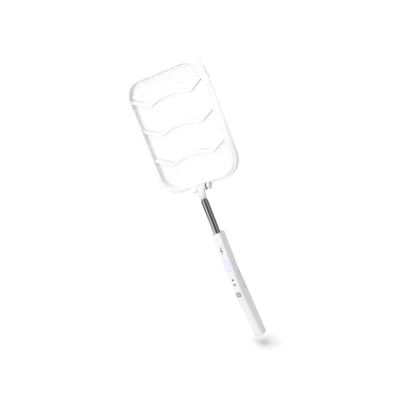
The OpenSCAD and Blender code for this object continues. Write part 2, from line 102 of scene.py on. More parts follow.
def range_node(tree, value, from_min, from_max, to_min=0.0, to_max=1.0):
    return add_node(tree, "ShaderNodeMapRange", {
        "Value": value, "From Min": from_min, "From Max": from_max, "To Min": to_min,
        "To Max": to_max})


def new_material(name):
    """A material with nodes; returns it, its tree and its shader."""
    material = bpy.data.materials.new(name)
    material.use_nodes = True
    return material, material.node_tree, material.node_tree.nodes["Principled BSDF"]


# %% [markdown]
# The view is from the right of the net and a little above it, through a long lens. The
# swatter is shown leaning, so the camera is rolled and the frame stays upright. The aim is a point
# beside the pole's axis, a little below the hinge's neck.

# %% Camera
VIEW_TURN = math.radians(30)
VIEW_RISE = math.radians(7.22)
VIEW_ROLL = math.radians(21.3)
VIEW_DISTANCE = 1.874
handle_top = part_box("handle_rear_shell")[1].z
aim = Vector((1.2 * MM, 0.6 * MM, handle_top + 57.8 * MM))


def towards(turn, rise):
    """The unit vector from the swatter to a place that far round it and that far above it."""
    flat = math.cos(rise)
    return Vector((math.sin(turn) * flat, -math.cos(turn) * flat, math.sin(rise)))


def camera_turn(back, roll=0.0):
    return (-back).to_track_quat("-Z", "Y") @ Quaternion((0, 0, 1), -roll)


camera_data = bpy.data.cameras.new("camera")
camera_data.lens = 75.4
camera_data.sensor_width = 36
camera_data.clip_start, camera_data.clip_end = 0.05, 50
camera = bpy.data.objects.new("camera", camera_data)
bpy.context.scene.collection.objects.link(camera)
view_back = towards(VIEW_TURN, VIEW_RISE)
camera.rotation_mode = "QUATERNION"
camera.location = aim + view_back * VIEW_DISTANCE
camera.rotation_quaternion = camera_turn(view_back, VIEW_ROLL)
bpy.context.scene.camera = camera
print("camera at", [round(v, 3) for v in camera.location])

# %% [markdown]
# The studio is a surround, softboxes and a pale floor. The softboxes give the white mouldings their
# shape: a broad one in front and a little to the left, two narrow ones for the head alone, in
# front and on the right, one overhead and one behind. Metal doesn't mirror them. It mirrors a
# surround of its own, with one bright and one grey band beside the camera, which draw the two
# stripes that run down the pole, because chrome in an all-white room has no shape.

# %% Studio
def softbox(name, turn, rise, distance, width, height, watts, colour=(1, 1, 1), target=None,
            spread=180):
    """A rectangle of light that looks at the middle of the swatter, or at a target."""
    light = bpy.data.lights.new(name, "AREA")
    light.shape, light.size, light.size_y = "RECTANGLE", width, height
    light.energy, light.color, light.spread = watts, colour, math.radians(spread)
    obj = bpy.data.objects.new(name, light)
    back = towards(math.radians(turn), math.radians(rise))
    obj.location = (target or aim) + back * distance
    obj.rotation_mode = "QUATERNION"
    obj.rotation_quaternion = camera_turn(back)
    obj.visible_camera = False
    obj.visible_glossy = False
    bpy.context.scene.collection.objects.link(obj)


head_low, head_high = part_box("head_front_frame")
head_centre = (head_low + head_high) / 2
softbox("key", -12, 26, 1.6, 1.0, 1.6, 11.0)
softbox("head_front", 14, 28, 0.8, 0.22, 0.16, 0.034, (1, 1, 1),
        head_centre + Vector((50, 0, 25)) * MM, 26)
softbox("head_side", 98, 14, 0.8, 0.16, 0.16, 0.06, (0.97, 0.97, 1.0), head_centre, 26)
softbox("top", 10, 80, 1.5, 1.2, 1.2, 6)
softbox("back", 185, 30, 1.8, 1.2, 1.2, 6)

SEEN_LEVEL, SKY_LEVEL = 1.05, 0.655
world = bpy.data.worlds.new("surround")
world.use_nodes = True
bpy.context.scene.world = world
tree = world.node_tree
tree.nodes.clear()
seen = add_node(tree, "ShaderNodeBackground", {"Color": (1, 1, 1, 1), "Strength": SEEN_LEVEL})
lighting = add_node(tree, "ShaderNodeBackground",
                    {"Color": (0.98, 0.98, 1.0, 1), "Strength": SKY_LEVEL})
heading = add_node(tree, "ShaderNodeTexCoord").outputs["Generated"]
heading = add_node(tree, "ShaderNodeSeparateXYZ", {0: heading})
turn_round = math_node(tree, "ARCTAN2", heading.outputs["X"],
                       math_node(tree, "MULTIPLY", heading.outputs["Y"], -1))
bands = add_node(tree, "ShaderNodeValToRGB",
                 {"Fac": range_node(tree, turn_round, -math.pi, math.pi)})
BANDS = ((-180, 1.0), (-98, 1.0), (-92, 0.05), (-46, 0.07), (-34, 0.98), (-8, 0.98), (4, 0.09),
         (54, 0.09), (64, 0.50), (86, 0.50), (98, 0.09), (140, 0.09), (156, 1.0), (180, 1.0))
marks = bands.color_ramp.elements
while len(marks) < len(BANDS):
    marks.new(0.5)
for mark, (turn, level) in zip(marks, BANDS):
    mark.position = (turn + 180) / 360
    mark.color = (level, level, level * 1.02, 1)
mirrored = add_node(tree, "ShaderNodeBackground", {"Color": bands})
path = add_node(tree, "ShaderNodeLightPath")
unseen = add_node(tree, "ShaderNodeMixShader",
                  {0: path.outputs["Is Glossy Ray"], 1: lighting, 2: mirrored})
either = add_node(tree, "ShaderNodeMixShader",
                  {0: path.outputs["Is Camera Ray"], 1: unseen, 2: seen})
add_node(tree, "ShaderNodeOutputWorld", {"Surface": either})
bpy.context.scene.view_settings.view_transform = "Standard"

# %% [markdown]
# The floor is a plain pale sheet, level in the view, so it leans with the camera's roll. It lies a
# little below the handle's lowest corner. It glows like a light table, and the glow is painted
# darker where little sky reaches it, which makes a small soft painted shadow under the foot. That
# sky leans to the view's left, so the painted shadow sits to one side of the foot. The camera sees
# more of the glow than the swatter receives. Seen from below the floor lets light through, so that
# it never hides the swatter from a low camera.

# %% Floor
FLOOR_REACH = 0.6
FLOOR_RISE = math.radians(21)
FLOOR_GAP = 18 * MM
SKY_LEAN = 1.2
SKY_REACH = 75 * MM
# Sky shares between which the floor's painted shadow runs, and the glow left where it is darkest.
SHADED_SKY, OPEN_SKY, LEAST_GLOW = 0.76, 0.965, 0.30
GLOW_GIVEN, GLOW_SEEN = 0.75, 0.97
FOOT_X, FOOT_Y = (-7.4 * MM, 7.4 * MM), (8 * MM, 29 * MM)
turned = camera.rotation_quaternion.to_matrix()
floor_up = turned.col[1] * math.cos(FLOOR_RISE) + turned.col[2] * math.sin(FLOOR_RISE)
foot = min((Vector((x, y, 0)) for x in FOOT_X for y in FOOT_Y),
           key=lambda p: p.dot(floor_up))
across = floor_up.orthogonal().normalized()
along = floor_up.cross(across)
floor_mesh = bpy.data.meshes.new("floor")
middle = foot - floor_up * FLOOR_GAP
floor_mesh.from_pydata([middle + (across * math.cos(a) + along * math.sin(a)) * FLOOR_REACH
                        for a in (math.tau * k / 48 for k in range(48))], [], [tuple(range(48))])
floor = bpy.data.objects.new("floor", floor_mesh)
bpy.context.scene.collection.objects.link(floor)
floor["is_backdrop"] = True
floor_paint, tree, matt = new_material("floor_paint")
path = add_node(tree, "ShaderNodeLightPath")
sky_side = (floor_up - turned.col[0] * SKY_LEAN).normalized()
open_sky = add_node(tree, "ShaderNodeAmbientOcclusion", {
    "Distance": SKY_REACH,
    "Normal": add_node(tree, "ShaderNodeCombineXYZ", dict(enumerate(sky_side)))})
# The glow dims where the occlusion node finds little sky: this paints the shadow under the foot.
fill(matt, {
    "Base Color": (0.13, 0.13, 0.13, 1), "Roughness": 0.9,
    "Emission Strength": range_node(
        tree, path.outputs["Is Camera Ray"], 0, 1, GLOW_GIVEN, GLOW_SEEN),
    "Emission Color": range_node(
        tree, open_sky.outputs["AO"], SHADED_SKY, OPEN_SKY, LEAST_GLOW)})
fill(tree.nodes["Material Output"], {"Surface": add_node(tree, "ShaderNodeMixShader", {
    0: add_node(tree, "ShaderNodeNewGeometry").outputs["Backfacing"], 1: matt,
    2: add_node(tree, "ShaderNodeBsdfTransparent")})})
floor_mesh.materials.append(floor_paint)

# %% [markdown]
# A few helpers carry the whole lesson. A loft skins a stack of rings, a lathe turns an outline
# round an axis, and a cut or a join of closed solids uses an exact Boolean. Each result is baked to
# a plain mesh, its doubled points are merged and its faces are turned outwards.


# %% Mesh helpers
def make_object(name, points, faces=(), edges=()):
    mesh = bpy.data.meshes.new(name)
    mesh.from_pydata([tuple(p) for p in points], list(edges), list(faces))
    obj = bpy.data.objects.new(name, mesh)
    bpy.context.scene.collection.objects.link(obj)
    return obj


def clean(obj, sharp_degrees=32):
    """Merges doubled points, turns faces outwards and smooths all but the sharp edges."""
    work = bmesh.new()
    work.from_mesh(obj.data)
    bmesh.ops.remove_doubles(work, verts=work.verts, dist=0.001 * MM)
    bmesh.ops.recalc_face_normals(work, faces=work.faces)
    work.to_mesh(obj.data)
    work.free()
    obj.data.shade_smooth()
    obj.data.set_sharp_from_angle(angle=math.radians(sharp_degrees))
    return obj


def bake(obj):
    """Replaces the object's mesh by what its modifiers make of it, and removes them."""
    bpy.context.view_layer.update()
    depsgraph = bpy.context.evaluated_depsgraph_get()
    made = bpy.data.meshes.new_from_object(obj.evaluated_get(depsgraph))
    obj.modifiers.clear()
    obj.data = made
    return obj


def combine(target, others, operation):
    """Joins the others to the target, or cuts them out of it, and removes them."""
    for other in others:
        modifier = target.modifiers.new(operation, "BOOLEAN")
        modifier.operation, modifier.solver, modifier.object = operation, "EXACT", other
    bake(target)
    for other in others:
        bpy.data.objects.remove(other)
    return clean(target)


def merge(name, parts):
    """One object that holds the meshes of several, as loose solids."""
    work = bmesh.new()
    for part in parts:
        work.from_mesh(part.data)
        bpy.data.objects.remove(part)
    mesh = bpy.data.meshes.new(name)
    work.to_mesh(mesh)
    work.free()
    obj = bpy.data.objects.new(name, mesh)
    bpy.context.scene.collection.objects.link(obj)
    return clean(obj)


def loft(name, rings, ends="caps"):
    """A skin over rings of equal point count, closed by caps or by joining last to first."""
    count = len(rings[0])
    total = len(rings)
    bands = total if ends == "join" else total - 1
    faces = [(r * count + i, r * count + (i + 1) % count,
              (r + 1) % total * count + (i + 1) % count, (r + 1) % total * count + i)
             for r in range(bands) for i in range(count)]
    if ends == "caps":
        faces += [tuple(range(count)), tuple((total - 1) * count + i for i in range(count))]
    return clean(make_object(name, [p for ring in rings for p in ring], faces))


def lathe(name, outline, centre=(0, 0, 0), axis="Z", steps=72):
    """Turns an outline of (radius, along) pairs round an axis through the centre."""
    open_outline = outline[0][0] == 0 and outline[-1][0] == 0
    count = len(outline)
    points = []
    for k in range(steps):
        a = math.tau * k / steps
        for radius, along_axis in outline:
            u, v = radius * math.cos(a), radius * math.sin(a)
            place = {"X": (along_axis, u, v), "Y": (u, along_axis, v), "Z": (u, v, along_axis)}
            points.append(Vector(centre) + Vector(place[axis]))
    faces = [(k * count + i, k * count + (i + 1) % count,
              (k + 1) % steps * count + (i + 1) % count, (k + 1) % steps * count + i)
             for k in range(steps) for i in range(count - 1 if open_outline else count)]
    return clean(make_object(name, points, faces))


def rounded(corners, steps=4):
    """A closed flat outline through corners given as (x, y, radius), rounded at each."""
    points = []
    for i, (x, y, radius) in enumerate(corners):
        here = Vector((x, y))
        to_before = (Vector(corners[i - 1][:2]) - here).normalized()
        to_after = (Vector(corners[(i + 1) % len(corners)][:2]) - here).normalized()
        if radius == 0:
            points.append(here)
            continue
        half = to_before.angle(to_after) / 2
        centre = here + (to_before + to_after).normalized() * radius / math.sin(half)
        start = here + to_before * radius / math.tan(half) - centre
        end = here + to_after * radius / math.tan(half) - centre
        points += [centre + start.lerp(end, k / steps).normalized() * radius
                   for k in range(steps + 1)]
    return points


def block(name, low, high, bevel=0.0):
    """A box between two corners, with its edges bevelled."""
    spots = [(x, y, z) for z in (low[2], high[2]) for y in (low[1], high[1])
             for x in (low[0], high[0])]
    faces = [(0, 1, 3, 2), (4, 6, 7, 5), (0, 4, 5, 1), (2, 3, 7, 6), (0, 2, 6, 4), (1, 5, 7, 3)]
    obj = make_object(name, spots, faces)
    if bevel:
        modifier = obj.modifiers.new("bevel", "BEVEL")
        modifier.width, modifier.segments = bevel, 2
        bake(obj)
    return clean(obj)


# %% [markdown]
# Finishes come next, because the Geometry Nodes trees set them. Three effects are shared by almost
# all of them: a fine grain with a slow cloudiness, wear where edges catch, and a dusty grey in the
# hollows, which is partly dust and partly painted shade, since it follows how hidden each point is.
# Each is a shader node group, built once, that puts out only values.


# %% Shared shader groups
def shader_group(name, inputs, outputs):
    group = bpy.data.node_groups.new(name, "ShaderNodeTree")
    for title, kind, value in inputs:
        socket = group.interface.new_socket(title, in_out="INPUT", socket_type=kind)
        socket.default_value = value
    for title in outputs:
        group.interface.new_socket(title, in_out="OUTPUT", socket_type="NodeSocketFloat")
    return group, group.nodes.new("NodeGroupInput"), group.nodes.new("NodeGroupOutput")


def noise(group, scale, vector=None, **inputs):
    """A noise texture on Object coordinates, or on the vector given."""
    vector = vector or add_node(group, "ShaderNodeTexCoord").outputs["Object"]
    inputs = {title.title(): value for title, value in inputs.items()}
    return add_node(group, "ShaderNodeTexNoise", {"Vector": vector, "Scale": scale, **inputs})


grain, given, put = shader_group(
    "fine grain",
    [("Scale", "NodeSocketFloat", 1500.0), ("Stretch", "NodeSocketVector", (1, 1, 1))],
    ["Height", "Cloud"])
stretched = add_node(grain, "ShaderNodeMapping", {
    "Vector": add_node(grain, "ShaderNodeTexCoord").outputs["Object"],
    "Scale": given.outputs["Stretch"]})
fill(put, {"Height": noise(grain, given.outputs["Scale"], stretched, detail=4, roughness=0.55),
           "Cloud": noise(grain, 26, detail=3)})

wear, given, put = shader_group("edge wear", [("Radius", "NodeSocketFloat", 0.6 * MM)], ["Mask"])
soft_edge = add_node(wear, "ShaderNodeBevel", {"Radius": given.outputs["Radius"]}, samples=4)
true_face = add_node(wear, "ShaderNodeNewGeometry").outputs["Normal"]
agree = add_node(wear, "ShaderNodeVectorMath", {0: soft_edge, 1: true_face},
                 operation="DOT_PRODUCT").outputs["Value"]
fill(put, {"Mask": math_node(wear, "MULTIPLY", range_node(wear, agree, 0.98, 0.78),
                             noise(wear, 240))})

# Dust and painted shade: a grey mask that grows where the surroundings hide a point, as shade does, broken by fine
# noise.
dust_and_shade, given, put = shader_group("dust_and_shade", [("Reach", "NodeSocketFloat", 3 * MM)], ["Mask"])
shelter = add_node(dust_and_shade, "ShaderNodeAmbientOcclusion", {"Distance": given.outputs["Reach"]},
                   samples=4).outputs["AO"]
fill(put, {"Mask": math_node(dust_and_shade, "MULTIPLY", range_node(dust_and_shade, shelter, 0.75, 0.15),
                             noise(dust_and_shade, 700, detail=5))})
print("shader groups:", [g.name for g in bpy.data.node_groups])

# %% [markdown]
# One function makes every opaque finish from its own values. The colour drifts a little with the
# cloudiness, turns towards a worn colour at edges and towards a dusty grey in hollows, which is
# partly dust and partly painted shade, and the grain sets both the roughness and a shallow bump.
# Values that are the same all over go straight on the shader's sockets.


# %% A finish
FIRST_COLOUR, SECOND_COLOUR, MIXED_COLOUR = 6, 7, 2  # sockets of a Mix node that mixes colours
DUST_AND_SHADE_COLOUR = (0.62, 0.60, 0.58)


def mixed(tree, factor, first, second, amount=1.0):
    """A colour mix; a colour may be three numbers or an output socket."""
    first, second = [(*c, 1) if isinstance(c, tuple) else c for c in (first, second)]
    return add_node(tree, "ShaderNodeMix", {
        "Factor": math_node(tree, "MULTIPLY", factor, amount), FIRST_COLOUR: first,
        SECOND_COLOUR: second}, data_type="RGBA").outputs[MIXED_COLOUR]


def finish(name, colour, drift, roughness, metallic=0.0, grain_scale=1500.0,
           stretch=(1, 1, 1), bump=0.012, worn=None, wear_amount=0.3, dust_and_shade_amount=0.12,
           coat=0.0, spread=0.08, **constants):
    """A finish from a colour, the colour it drifts to, a roughness and its grain."""
    material, tree, body = new_material(name)
    fill(body, {title.replace("_", " ").title(): value for title, value in constants.items()})
    # An emission strength makes a finish glow white; the nets and the grid use it as painted light.
    if "emission_strength" in constants:
        fill(body, {"Emission Color": (1, 1, 1, 1)})
    texture = add_node(tree, "ShaderNodeGroup", {"Scale": grain_scale, "Stretch": stretch},
                       node_tree=grain)
    base = mixed(tree, texture.outputs["Cloud"], colour, drift)
    if worn:
        edges = add_node(tree, "ShaderNodeGroup", node_tree=wear)
        base = mixed(tree, edges.outputs["Mask"], base, worn, wear_amount)
    # A dusty grey in hollows: partly dust, partly painted shade.
    if dust_and_shade_amount:
        dusty_shaded_hollows = add_node(tree, "ShaderNodeGroup", node_tree=dust_and_shade)
        base = mixed(tree, dusty_shaded_hollows.outputs["Mask"], base, DUST_AND_SHADE_COLOUR, dust_and_shade_amount)
    height = texture.outputs["Height"]
    fill(body, {
        "Metallic": metallic, "Coat Weight": coat, "Base Color": base,
        "Roughness": range_node(tree, height, 0, 1, max(roughness - spread, 0.02),
                                roughness + spread),
        "Normal": add_node(tree, "ShaderNodeBump", {
            "Strength": 0.5, "Distance": bump * MM, "Height": height})})
    return material

# %% The finishes
ROUND_LINES = (0.02, 0.02, 1.0)
LONG_LINES = (1.0, 1.0, 0.02)
shell_white = finish("white_moulding", (0.90, 0.90, 0.915), (0.87, 0.87, 0.89), 0.42,
                     worn=(0.97, 0.97, 0.97), bump=0.010)
# The rear frame's white, painted darker as shade on the set-back strip round the head's side.
rear_white_painted_shade = finish("white_rear_moulding", (0.72, 0.72, 0.75), (0.69, 0.69, 0.72), 0.48,
                    worn=(0.9, 0.9, 0.92), bump=0.014)
# The nets and the live grid glow faintly: painted light for the light scattered between the three layers.
net_white_painted_glow = finish("coated_net", (0.97, 0.97, 0.97), (0.94, 0.94, 0.95), 0.45,
                   grain_scale=900, bump=0.02, dust_and_shade_amount=0.0, emission_strength=0.02)
grid_white_painted_glow = finish("coated_grid", (0.95, 0.95, 0.96), (0.91, 0.91, 0.93), 0.35,
                    grain_scale=1200, bump=0.01, dust_and_shade_amount=0.0, emission_strength=0.02)
chrome = finish("drawn_chrome", (0.66, 0.66, 0.69), (0.60, 0.60, 0.63), 0.13, metallic=1.0,
                grain_scale=2600, stretch=ROUND_LINES, bump=0.0004, spread=0.04,
                worn=(0.45, 0.45, 0.47), dust_and_shade_amount=0.05)
steel = finish("plated_steel", (0.60, 0.60, 0.63), (0.50, 0.50, 0.54), 0.32, metallic=1.0,
               grain_scale=1800, bump=0.006, worn=(0.75, 0.75, 0.76), dust_and_shade_amount=0.2)
brass = finish("turned_brass", (0.78, 0.60, 0.30), (0.66, 0.48, 0.22), 0.28, metallic=1.0,
               grain_scale=2200, stretch=ROUND_LINES, bump=0.004, worn=(0.88, 0.72, 0.42))
grey_moulding = finish("grey_moulding", (0.82, 0.82, 0.84), (0.76, 0.76, 0.79), 0.5,
                       worn=(0.75, 0.75, 0.76), bump=0.014)
stem_white = finish("white_nylon", (0.84, 0.84, 0.855), (0.77, 0.77, 0.79), 0.38, bump=0.02,
                    grain_scale=900, worn=(0.85, 0.85, 0.86), subsurface_weight=0.1,
                    subsurface_scale=1 * MM)
inner_moulding = finish("inner_moulding", (0.74, 0.74, 0.76), (0.68, 0.68, 0.70), 0.55,
                        worn=(0.85, 0.85, 0.86), bump=0.016)
nylon = finish("black_nylon", (0.045, 0.045, 0.05), (0.07, 0.07, 0.075), 0.5,
               worn=(0.2, 0.2, 0.2), bump=0.015)
smoked = finish("smoked_lens", (0.03, 0.03, 0.035), (0.05, 0.05, 0.055), 0.12, coat=0.6,
                bump=0.002, spread=0.04, dust_and_shade_amount=0.0)
ink = finish("dark_print", (0.19, 0.20, 0.27), (0.24, 0.25, 0.32), 0.5, bump=0.006, dust_and_shade_amount=0.0)
label_field = finish("label_field", (0.30, 0.29, 0.36), (0.36, 0.35, 0.42), 0.4,
                     bump=0.004, dust_and_shade_amount=0.0)
label_paper = finish("label_paper", (0.70, 0.70, 0.74), (0.64, 0.64, 0.69), 0.45,
                     bump=0.004, dust_and_shade_amount=0.0)
resist = finish("green_resist", (0.03, 0.20, 0.11), (0.05, 0.26, 0.15), 0.3, coat=0.3,
                grain_scale=500, bump=0.02)
winding = finish("taped_winding", (0.62, 0.40, 0.16), (0.50, 0.30, 0.10), 0.45,
                 grain_scale=700, stretch=LONG_LINES, bump=0.05)
dipped = finish("dipped_case", (0.42, 0.10, 0.06), (0.32, 0.07, 0.04), 0.25, coat=0.5,
                grain_scale=300, bump=0.03)
resin = finish("tinted_resin", (0.80, 0.30, 0.22), (0.70, 0.22, 0.16), 0.15, bump=0.004)
sleeve = finish("shrink_sleeve", (0.14, 0.34, 0.32), (0.10, 0.28, 0.27), 0.3, coat=0.3,
                grain_scale=400, bump=0.03, worn=(0.3, 0.5, 0.48))
rubber = finish("lead_rubber", (0.05, 0.05, 0.055), (0.09, 0.09, 0.095), 0.6, bump=0.02)
red_rubber = finish("red_lead", (0.45, 0.04, 0.04), (0.36, 0.03, 0.03), 0.5, bump=0.02)

# %% [markdown]
# The button is milky plastic with a lamp behind it. Light that scatters inside gives it a soft
# body, and a pale blue glow fades from its middle to its rim, as a function of the distance from
# the lamp.

# %% The lit button's finish
button_low, button_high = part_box("power_button")
button_middle = (button_low + button_high) / 2
lit = finish("lit_button", (0.79, 0.83, 0.93), (0.82, 0.86, 0.95), 0.3, coat=0.2,
             bump=0.004, dust_and_shade_amount=0.0, subsurface_weight=0.25, subsurface_scale=2 * MM)
tree = lit.node_tree
centred = add_node(tree, "ShaderNodeMapping", {
    "Vector": add_node(tree, "ShaderNodeTexCoord").outputs["Object"],
    "Location": -button_middle})
distance = add_node(tree, "ShaderNodeVectorMath", {0: centred}, operation="LENGTH")
fade = range_node(tree, distance.outputs["Value"], 0, 15 * MM)
fade.interpolation_type = "SMOOTHSTEP"
fill(tree.nodes["Principled BSDF"], {
    "Emission Color": mixed(tree, fade, (0.45, 0.78, 1.0), (0.10, 0.12, 0.14)),
    "Emission Strength": 0.05})
print("finishes:", len(bpy.data.materials))

# %% [markdown]
# Geometry Nodes do the repeating work. One tree sweeps a profile along a path, for the frame's
# bars, the ribs and the net's rims. One lays straight strands at a slope and trims each where it
# meets the rim, for the nets. One repeats a part at given points, for screws and grip ribs. Each
# has named inputs, and its result is turned into a plain mesh at once.


# %% Helpers for Geometry Nodes
def geometry_tree(name, inputs):
    made = bpy.data.node_groups.new(name, "GeometryNodeTree")
    made.interface.new_socket("Geometry", in_out="INPUT", socket_type="NodeSocketGeometry")
    for title, kind in inputs:
        made.interface.new_socket(title, in_out="INPUT", socket_type="NodeSocket" + kind)
    made.interface.new_socket("Geometry", in_out="OUTPUT", socket_type="NodeSocketGeometry")
    return made, made.nodes.new("NodeGroupInput").outputs, made.nodes.new("NodeGroupOutput")


def object_geometry(tree, source):
    return add_node(tree, "GeometryNodeObjectInfo", {"Object": source}).outputs["Geometry"]


def end_tree(tree, geometry, given, put):
    """Makes instances real and sets the finish, which every tree ends with."""
    real = add_node(tree, "GeometryNodeRealizeInstances", {"Geometry": geometry})
    fill(put, {"Geometry": add_node(tree, "GeometryNodeSetMaterial", {
        "Geometry": real, "Material": given["Finish"]})})


def run_tree(obj, tree, values):
    """Runs a tree on an object with named input values and keeps the result as its mesh."""
    modifier = obj.modifiers.new(tree.name, "NODES")
    modifier.node_group = tree
    for item in tree.interface.items_tree:
        if item.in_out == "INPUT" and item.name in values:
            modifier[item.identifier] = values[item.name]
    bake(obj)
    return clean(obj)

# %% The sweep tree
tree, given, put = sweep_tree, *_ = geometry_tree(
    "sweep", [("Profile", "Object"), ("Caps", "Bool"), ("Finish", "Material")])
skin = add_node(tree, "GeometryNodeCurveToMesh", {
    "Curve": add_node(tree, "GeometryNodeMeshToCurve", {"Mesh": given["Geometry"]}),
    "Profile Curve": add_node(tree, "GeometryNodeMeshToCurve",
                              {"Mesh": object_geometry(tree, given["Profile"])}),
    "Fill Caps": given["Caps"]})
end_tree(tree, skin, given, put)


def wire(name, points, closed):
    """Points joined by edges, which a tree reads as a path."""
    count = len(points)
    edges = [(i, (i + 1) % count) for i in range(count if closed else count - 1)]
    return make_object(name, points, (), edges)


def sweep(name, path_points, closed, profile, material):
    """Sweeps a flat profile of (towards -Y, outwards) pairs along a path in X and Z."""
    obj = wire(name, path_points, closed)
    section = wire(name + "_section", [(a, b, 0) for a, b in profile], True)
    run_tree(obj, sweep_tree, {"Profile": section, "Caps": not closed, "Finish": material})
    bpy.data.objects.remove(section)
    return obj


# %% The strand tree
tree, given, put = strand_tree, *_ = geometry_tree(
    "strands", [("Rim", "Object"), ("Middle", "Vector"), ("Along", "Vector"),
                ("Across", "Vector"), ("Corner", "Vector"), ("Spacing", "Float"),
                ("Count", "Int"), ("Width", "Float"), ("Depth", "Float"),
                ("Finish", "Material")])


def vector_node(operation, first, **inputs):
    """A Vector Math node in the strand tree on a vector and a second one or a scale."""
    inputs = {1 if title == "second" else "Scale": value for title, value in inputs.items()}
    return add_node(tree, "ShaderNodeVectorMath", {0: first, **inputs}, operation=operation)


rows = add_node(tree, "GeometryNodeInstanceOnPoints", {
    "Points": add_node(tree, "GeometryNodeMeshLine", {"Count": given["Count"]}),
    "Instance": add_node(tree, "GeometryNodeMeshLine", {"Count": 2})})
rows = add_node(tree, "GeometryNodeRealizeInstances", {"Geometry": rows})
index = add_node(tree, "GeometryNodeInputIndex")
number = math_node(tree, "FLOOR", math_node(tree, "DIVIDE", index, 2.0))
end_sign = math_node(tree, "SUBTRACT", 1.0, math_node(
    tree, "MULTIPLY", math_node(tree, "MODULO", index, 2.0), 2.0))
middle_number = math_node(tree, "DIVIDE", math_node(tree, "SUBTRACT", given["Count"], 1.0), 2.0)
offset = math_node(tree, "MULTIPLY", math_node(tree, "SUBTRACT", number, middle_number),
                   given["Spacing"])
corner_reach = vector_node("DOT_PRODUCT", given["Corner"], second=given["Across"])
share = math_node(tree, "DIVIDE", offset, corner_reach.outputs["Value"])
start = vector_node("ADD", vector_node("SCALE", given["Corner"], scale=share),
                    second=given["Middle"])
ray = add_node(tree, "GeometryNodeRaycast", {
    "Target Geometry": object_geometry(tree, given["Rim"]), "Source Position": start,
    "Ray Direction": vector_node("SCALE", given["Along"], scale=end_sign), "Ray Length": 1.0})
missed = add_node(tree, "FunctionNodeBooleanMath", {0: ray.outputs["Is Hit"]}, operation="NOT")
kept = add_node(tree, "GeometryNodeStoreNamedAttribute", data_type="BOOLEAN")
fill(kept, {"Geometry": rows, "Name": "missed", "Value": missed})
moved = add_node(tree, "GeometryNodeSetPosition",
                 {"Geometry": kept, "Position": ray.outputs["Hit Position"]})
read = add_node(tree, "GeometryNodeInputNamedAttribute", {"Name": "missed"}, data_type="BOOLEAN")
hits = add_node(tree, "GeometryNodeDeleteGeometry", {"Geometry": moved, "Selection": read})
flat_size = add_node(tree, "ShaderNodeCombineXYZ", {
    "X": math_node(tree, "DIVIDE", given["Depth"], 2.0),
    "Y": math_node(tree, "DIVIDE", given["Width"], 2.0), "Z": 1.0})
section = add_node(tree, "GeometryNodeTransform", {
    "Geometry": add_node(tree, "GeometryNodeCurvePrimitiveCircle", {"Resolution": 8}),
    "Scale": flat_size})
skin = add_node(tree, "GeometryNodeCurveToMesh", {
    "Curve": add_node(tree, "GeometryNodeMeshToCurve", {"Mesh": hits}),
    "Profile Curve": section, "Fill Caps": True})
end_tree(tree, skin, given, put)

# %% The repeat tree
tree, given, put = repeat_tree, *_ = geometry_tree(
    "repeat", [("Part", "Object"), ("Finish", "Material")])
copies = add_node(tree, "GeometryNodeInstanceOnPoints", {
    "Points": given["Geometry"], "Instance": object_geometry(tree, given["Part"])})
end_tree(tree, copies, given, put)


def repeat(name, part, places, material):
    """The same part at several places, as one piece."""
    obj = make_object(name, places)
    run_tree(obj, repeat_tree, {"Part": part, "Finish": material})
    bpy.data.objects.remove(part)
    return obj


print("trees:", [g.name for g in bpy.data.node_groups if g.type == "GEOMETRY"])

# %% [markdown]
# A finished piece takes its place in three steps: its material, the body it moves with, and the frame
# parts it stands for.


# %% Placing a piece
body_of_node = {n: b for b, ns in frame["record"]["behaviour"]["bodies"].items() for n in ns}


def place_piece(obj, material, *nodes_replaced, body=None):
    """Paints a piece and hands it to the body of the first part that it stands for."""
    obj.data.materials.clear()
    obj.data.materials.append(material)
    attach(obj, body or body_of_node[nodes_replaced[0]])
    if nodes_replaced:
        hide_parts(*nodes_replaced)
    print(obj.name, len(obj.data.polygons), "faces")
    return obj


# %% [markdown]
# ## The head
# The head's outline is a rounded rectangle that narrows a little towards the hinge. Its size comes
# from the rear frame's box, which stands a known distance inside the outline.

# %% The head's outline
REAR_SHY = 0.8 * MM
HEAD_TAPER = 3 * MM
HEAD_CORNER = 46 * MM
BAR = 11 * MM
LIP = 8.6 * MM
rear_low, rear_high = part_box("head_rear_frame")
head_foot, head_top = rear_low.z - REAR_SHY, rear_high.z + REAR_SHY
head_half = rear_high.x + REAR_SHY
head_height = head_top - head_foot
head_back = rear_high.y
head_front = head_back - 20 * MM
split_y = rear_low.y
lean = math.atan(HEAD_TAPER / 2 / head_height)


def side_x(height):
    """Half the head's width at a height above its foot."""
    return head_half - HEAD_TAPER / 2 * (1 - height / head_height)


def outline(inset, y=0.0, steps=20):
    """The head's outline at depth y, moved inwards by inset, as points from its foot round."""
    radius = HEAD_CORNER - inset
    low_z, high_z = HEAD_CORNER, head_height - HEAD_CORNER
    low_x = side_x(low_z) - HEAD_CORNER / math.cos(lean)
    high_x = side_x(high_z) - HEAD_CORNER / math.cos(lean)
    arcs = ((low_x, low_z, -90, -math.degrees(lean)), (high_x, high_z, -math.degrees(lean), 90),
            (-high_x, high_z, 90, 180 + math.degrees(lean)),
            (-low_x, low_z, 180 + math.degrees(lean), 270))
    points = []
    for x, z, begin, end in arcs:
        for k in range(steps + 1):
            a = math.radians(begin + (end - begin) * k / steps)
            side, rise = radius * math.cos(a), radius * math.sin(a)
            points.append(Vector((x + side, y, head_foot + z + rise)))
    return points


def bar_section(corners):
    """A bar's section, from corners of (inset, depth, radius) in mm, for the sweep."""
    return [(-depth * MM, -inset * MM) for inset, depth in rounded(corners)]


head_path = outline(0.0)
face = head_front / MM
back = head_back / MM
net_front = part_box("front_guard_net")[0].y / MM
net_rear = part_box("rear_guard_net")[1].y / MM
split = split_y / MM
print("head in mm:", round(2 * head_half / MM, 1), "by", round(head_height / MM, 1))

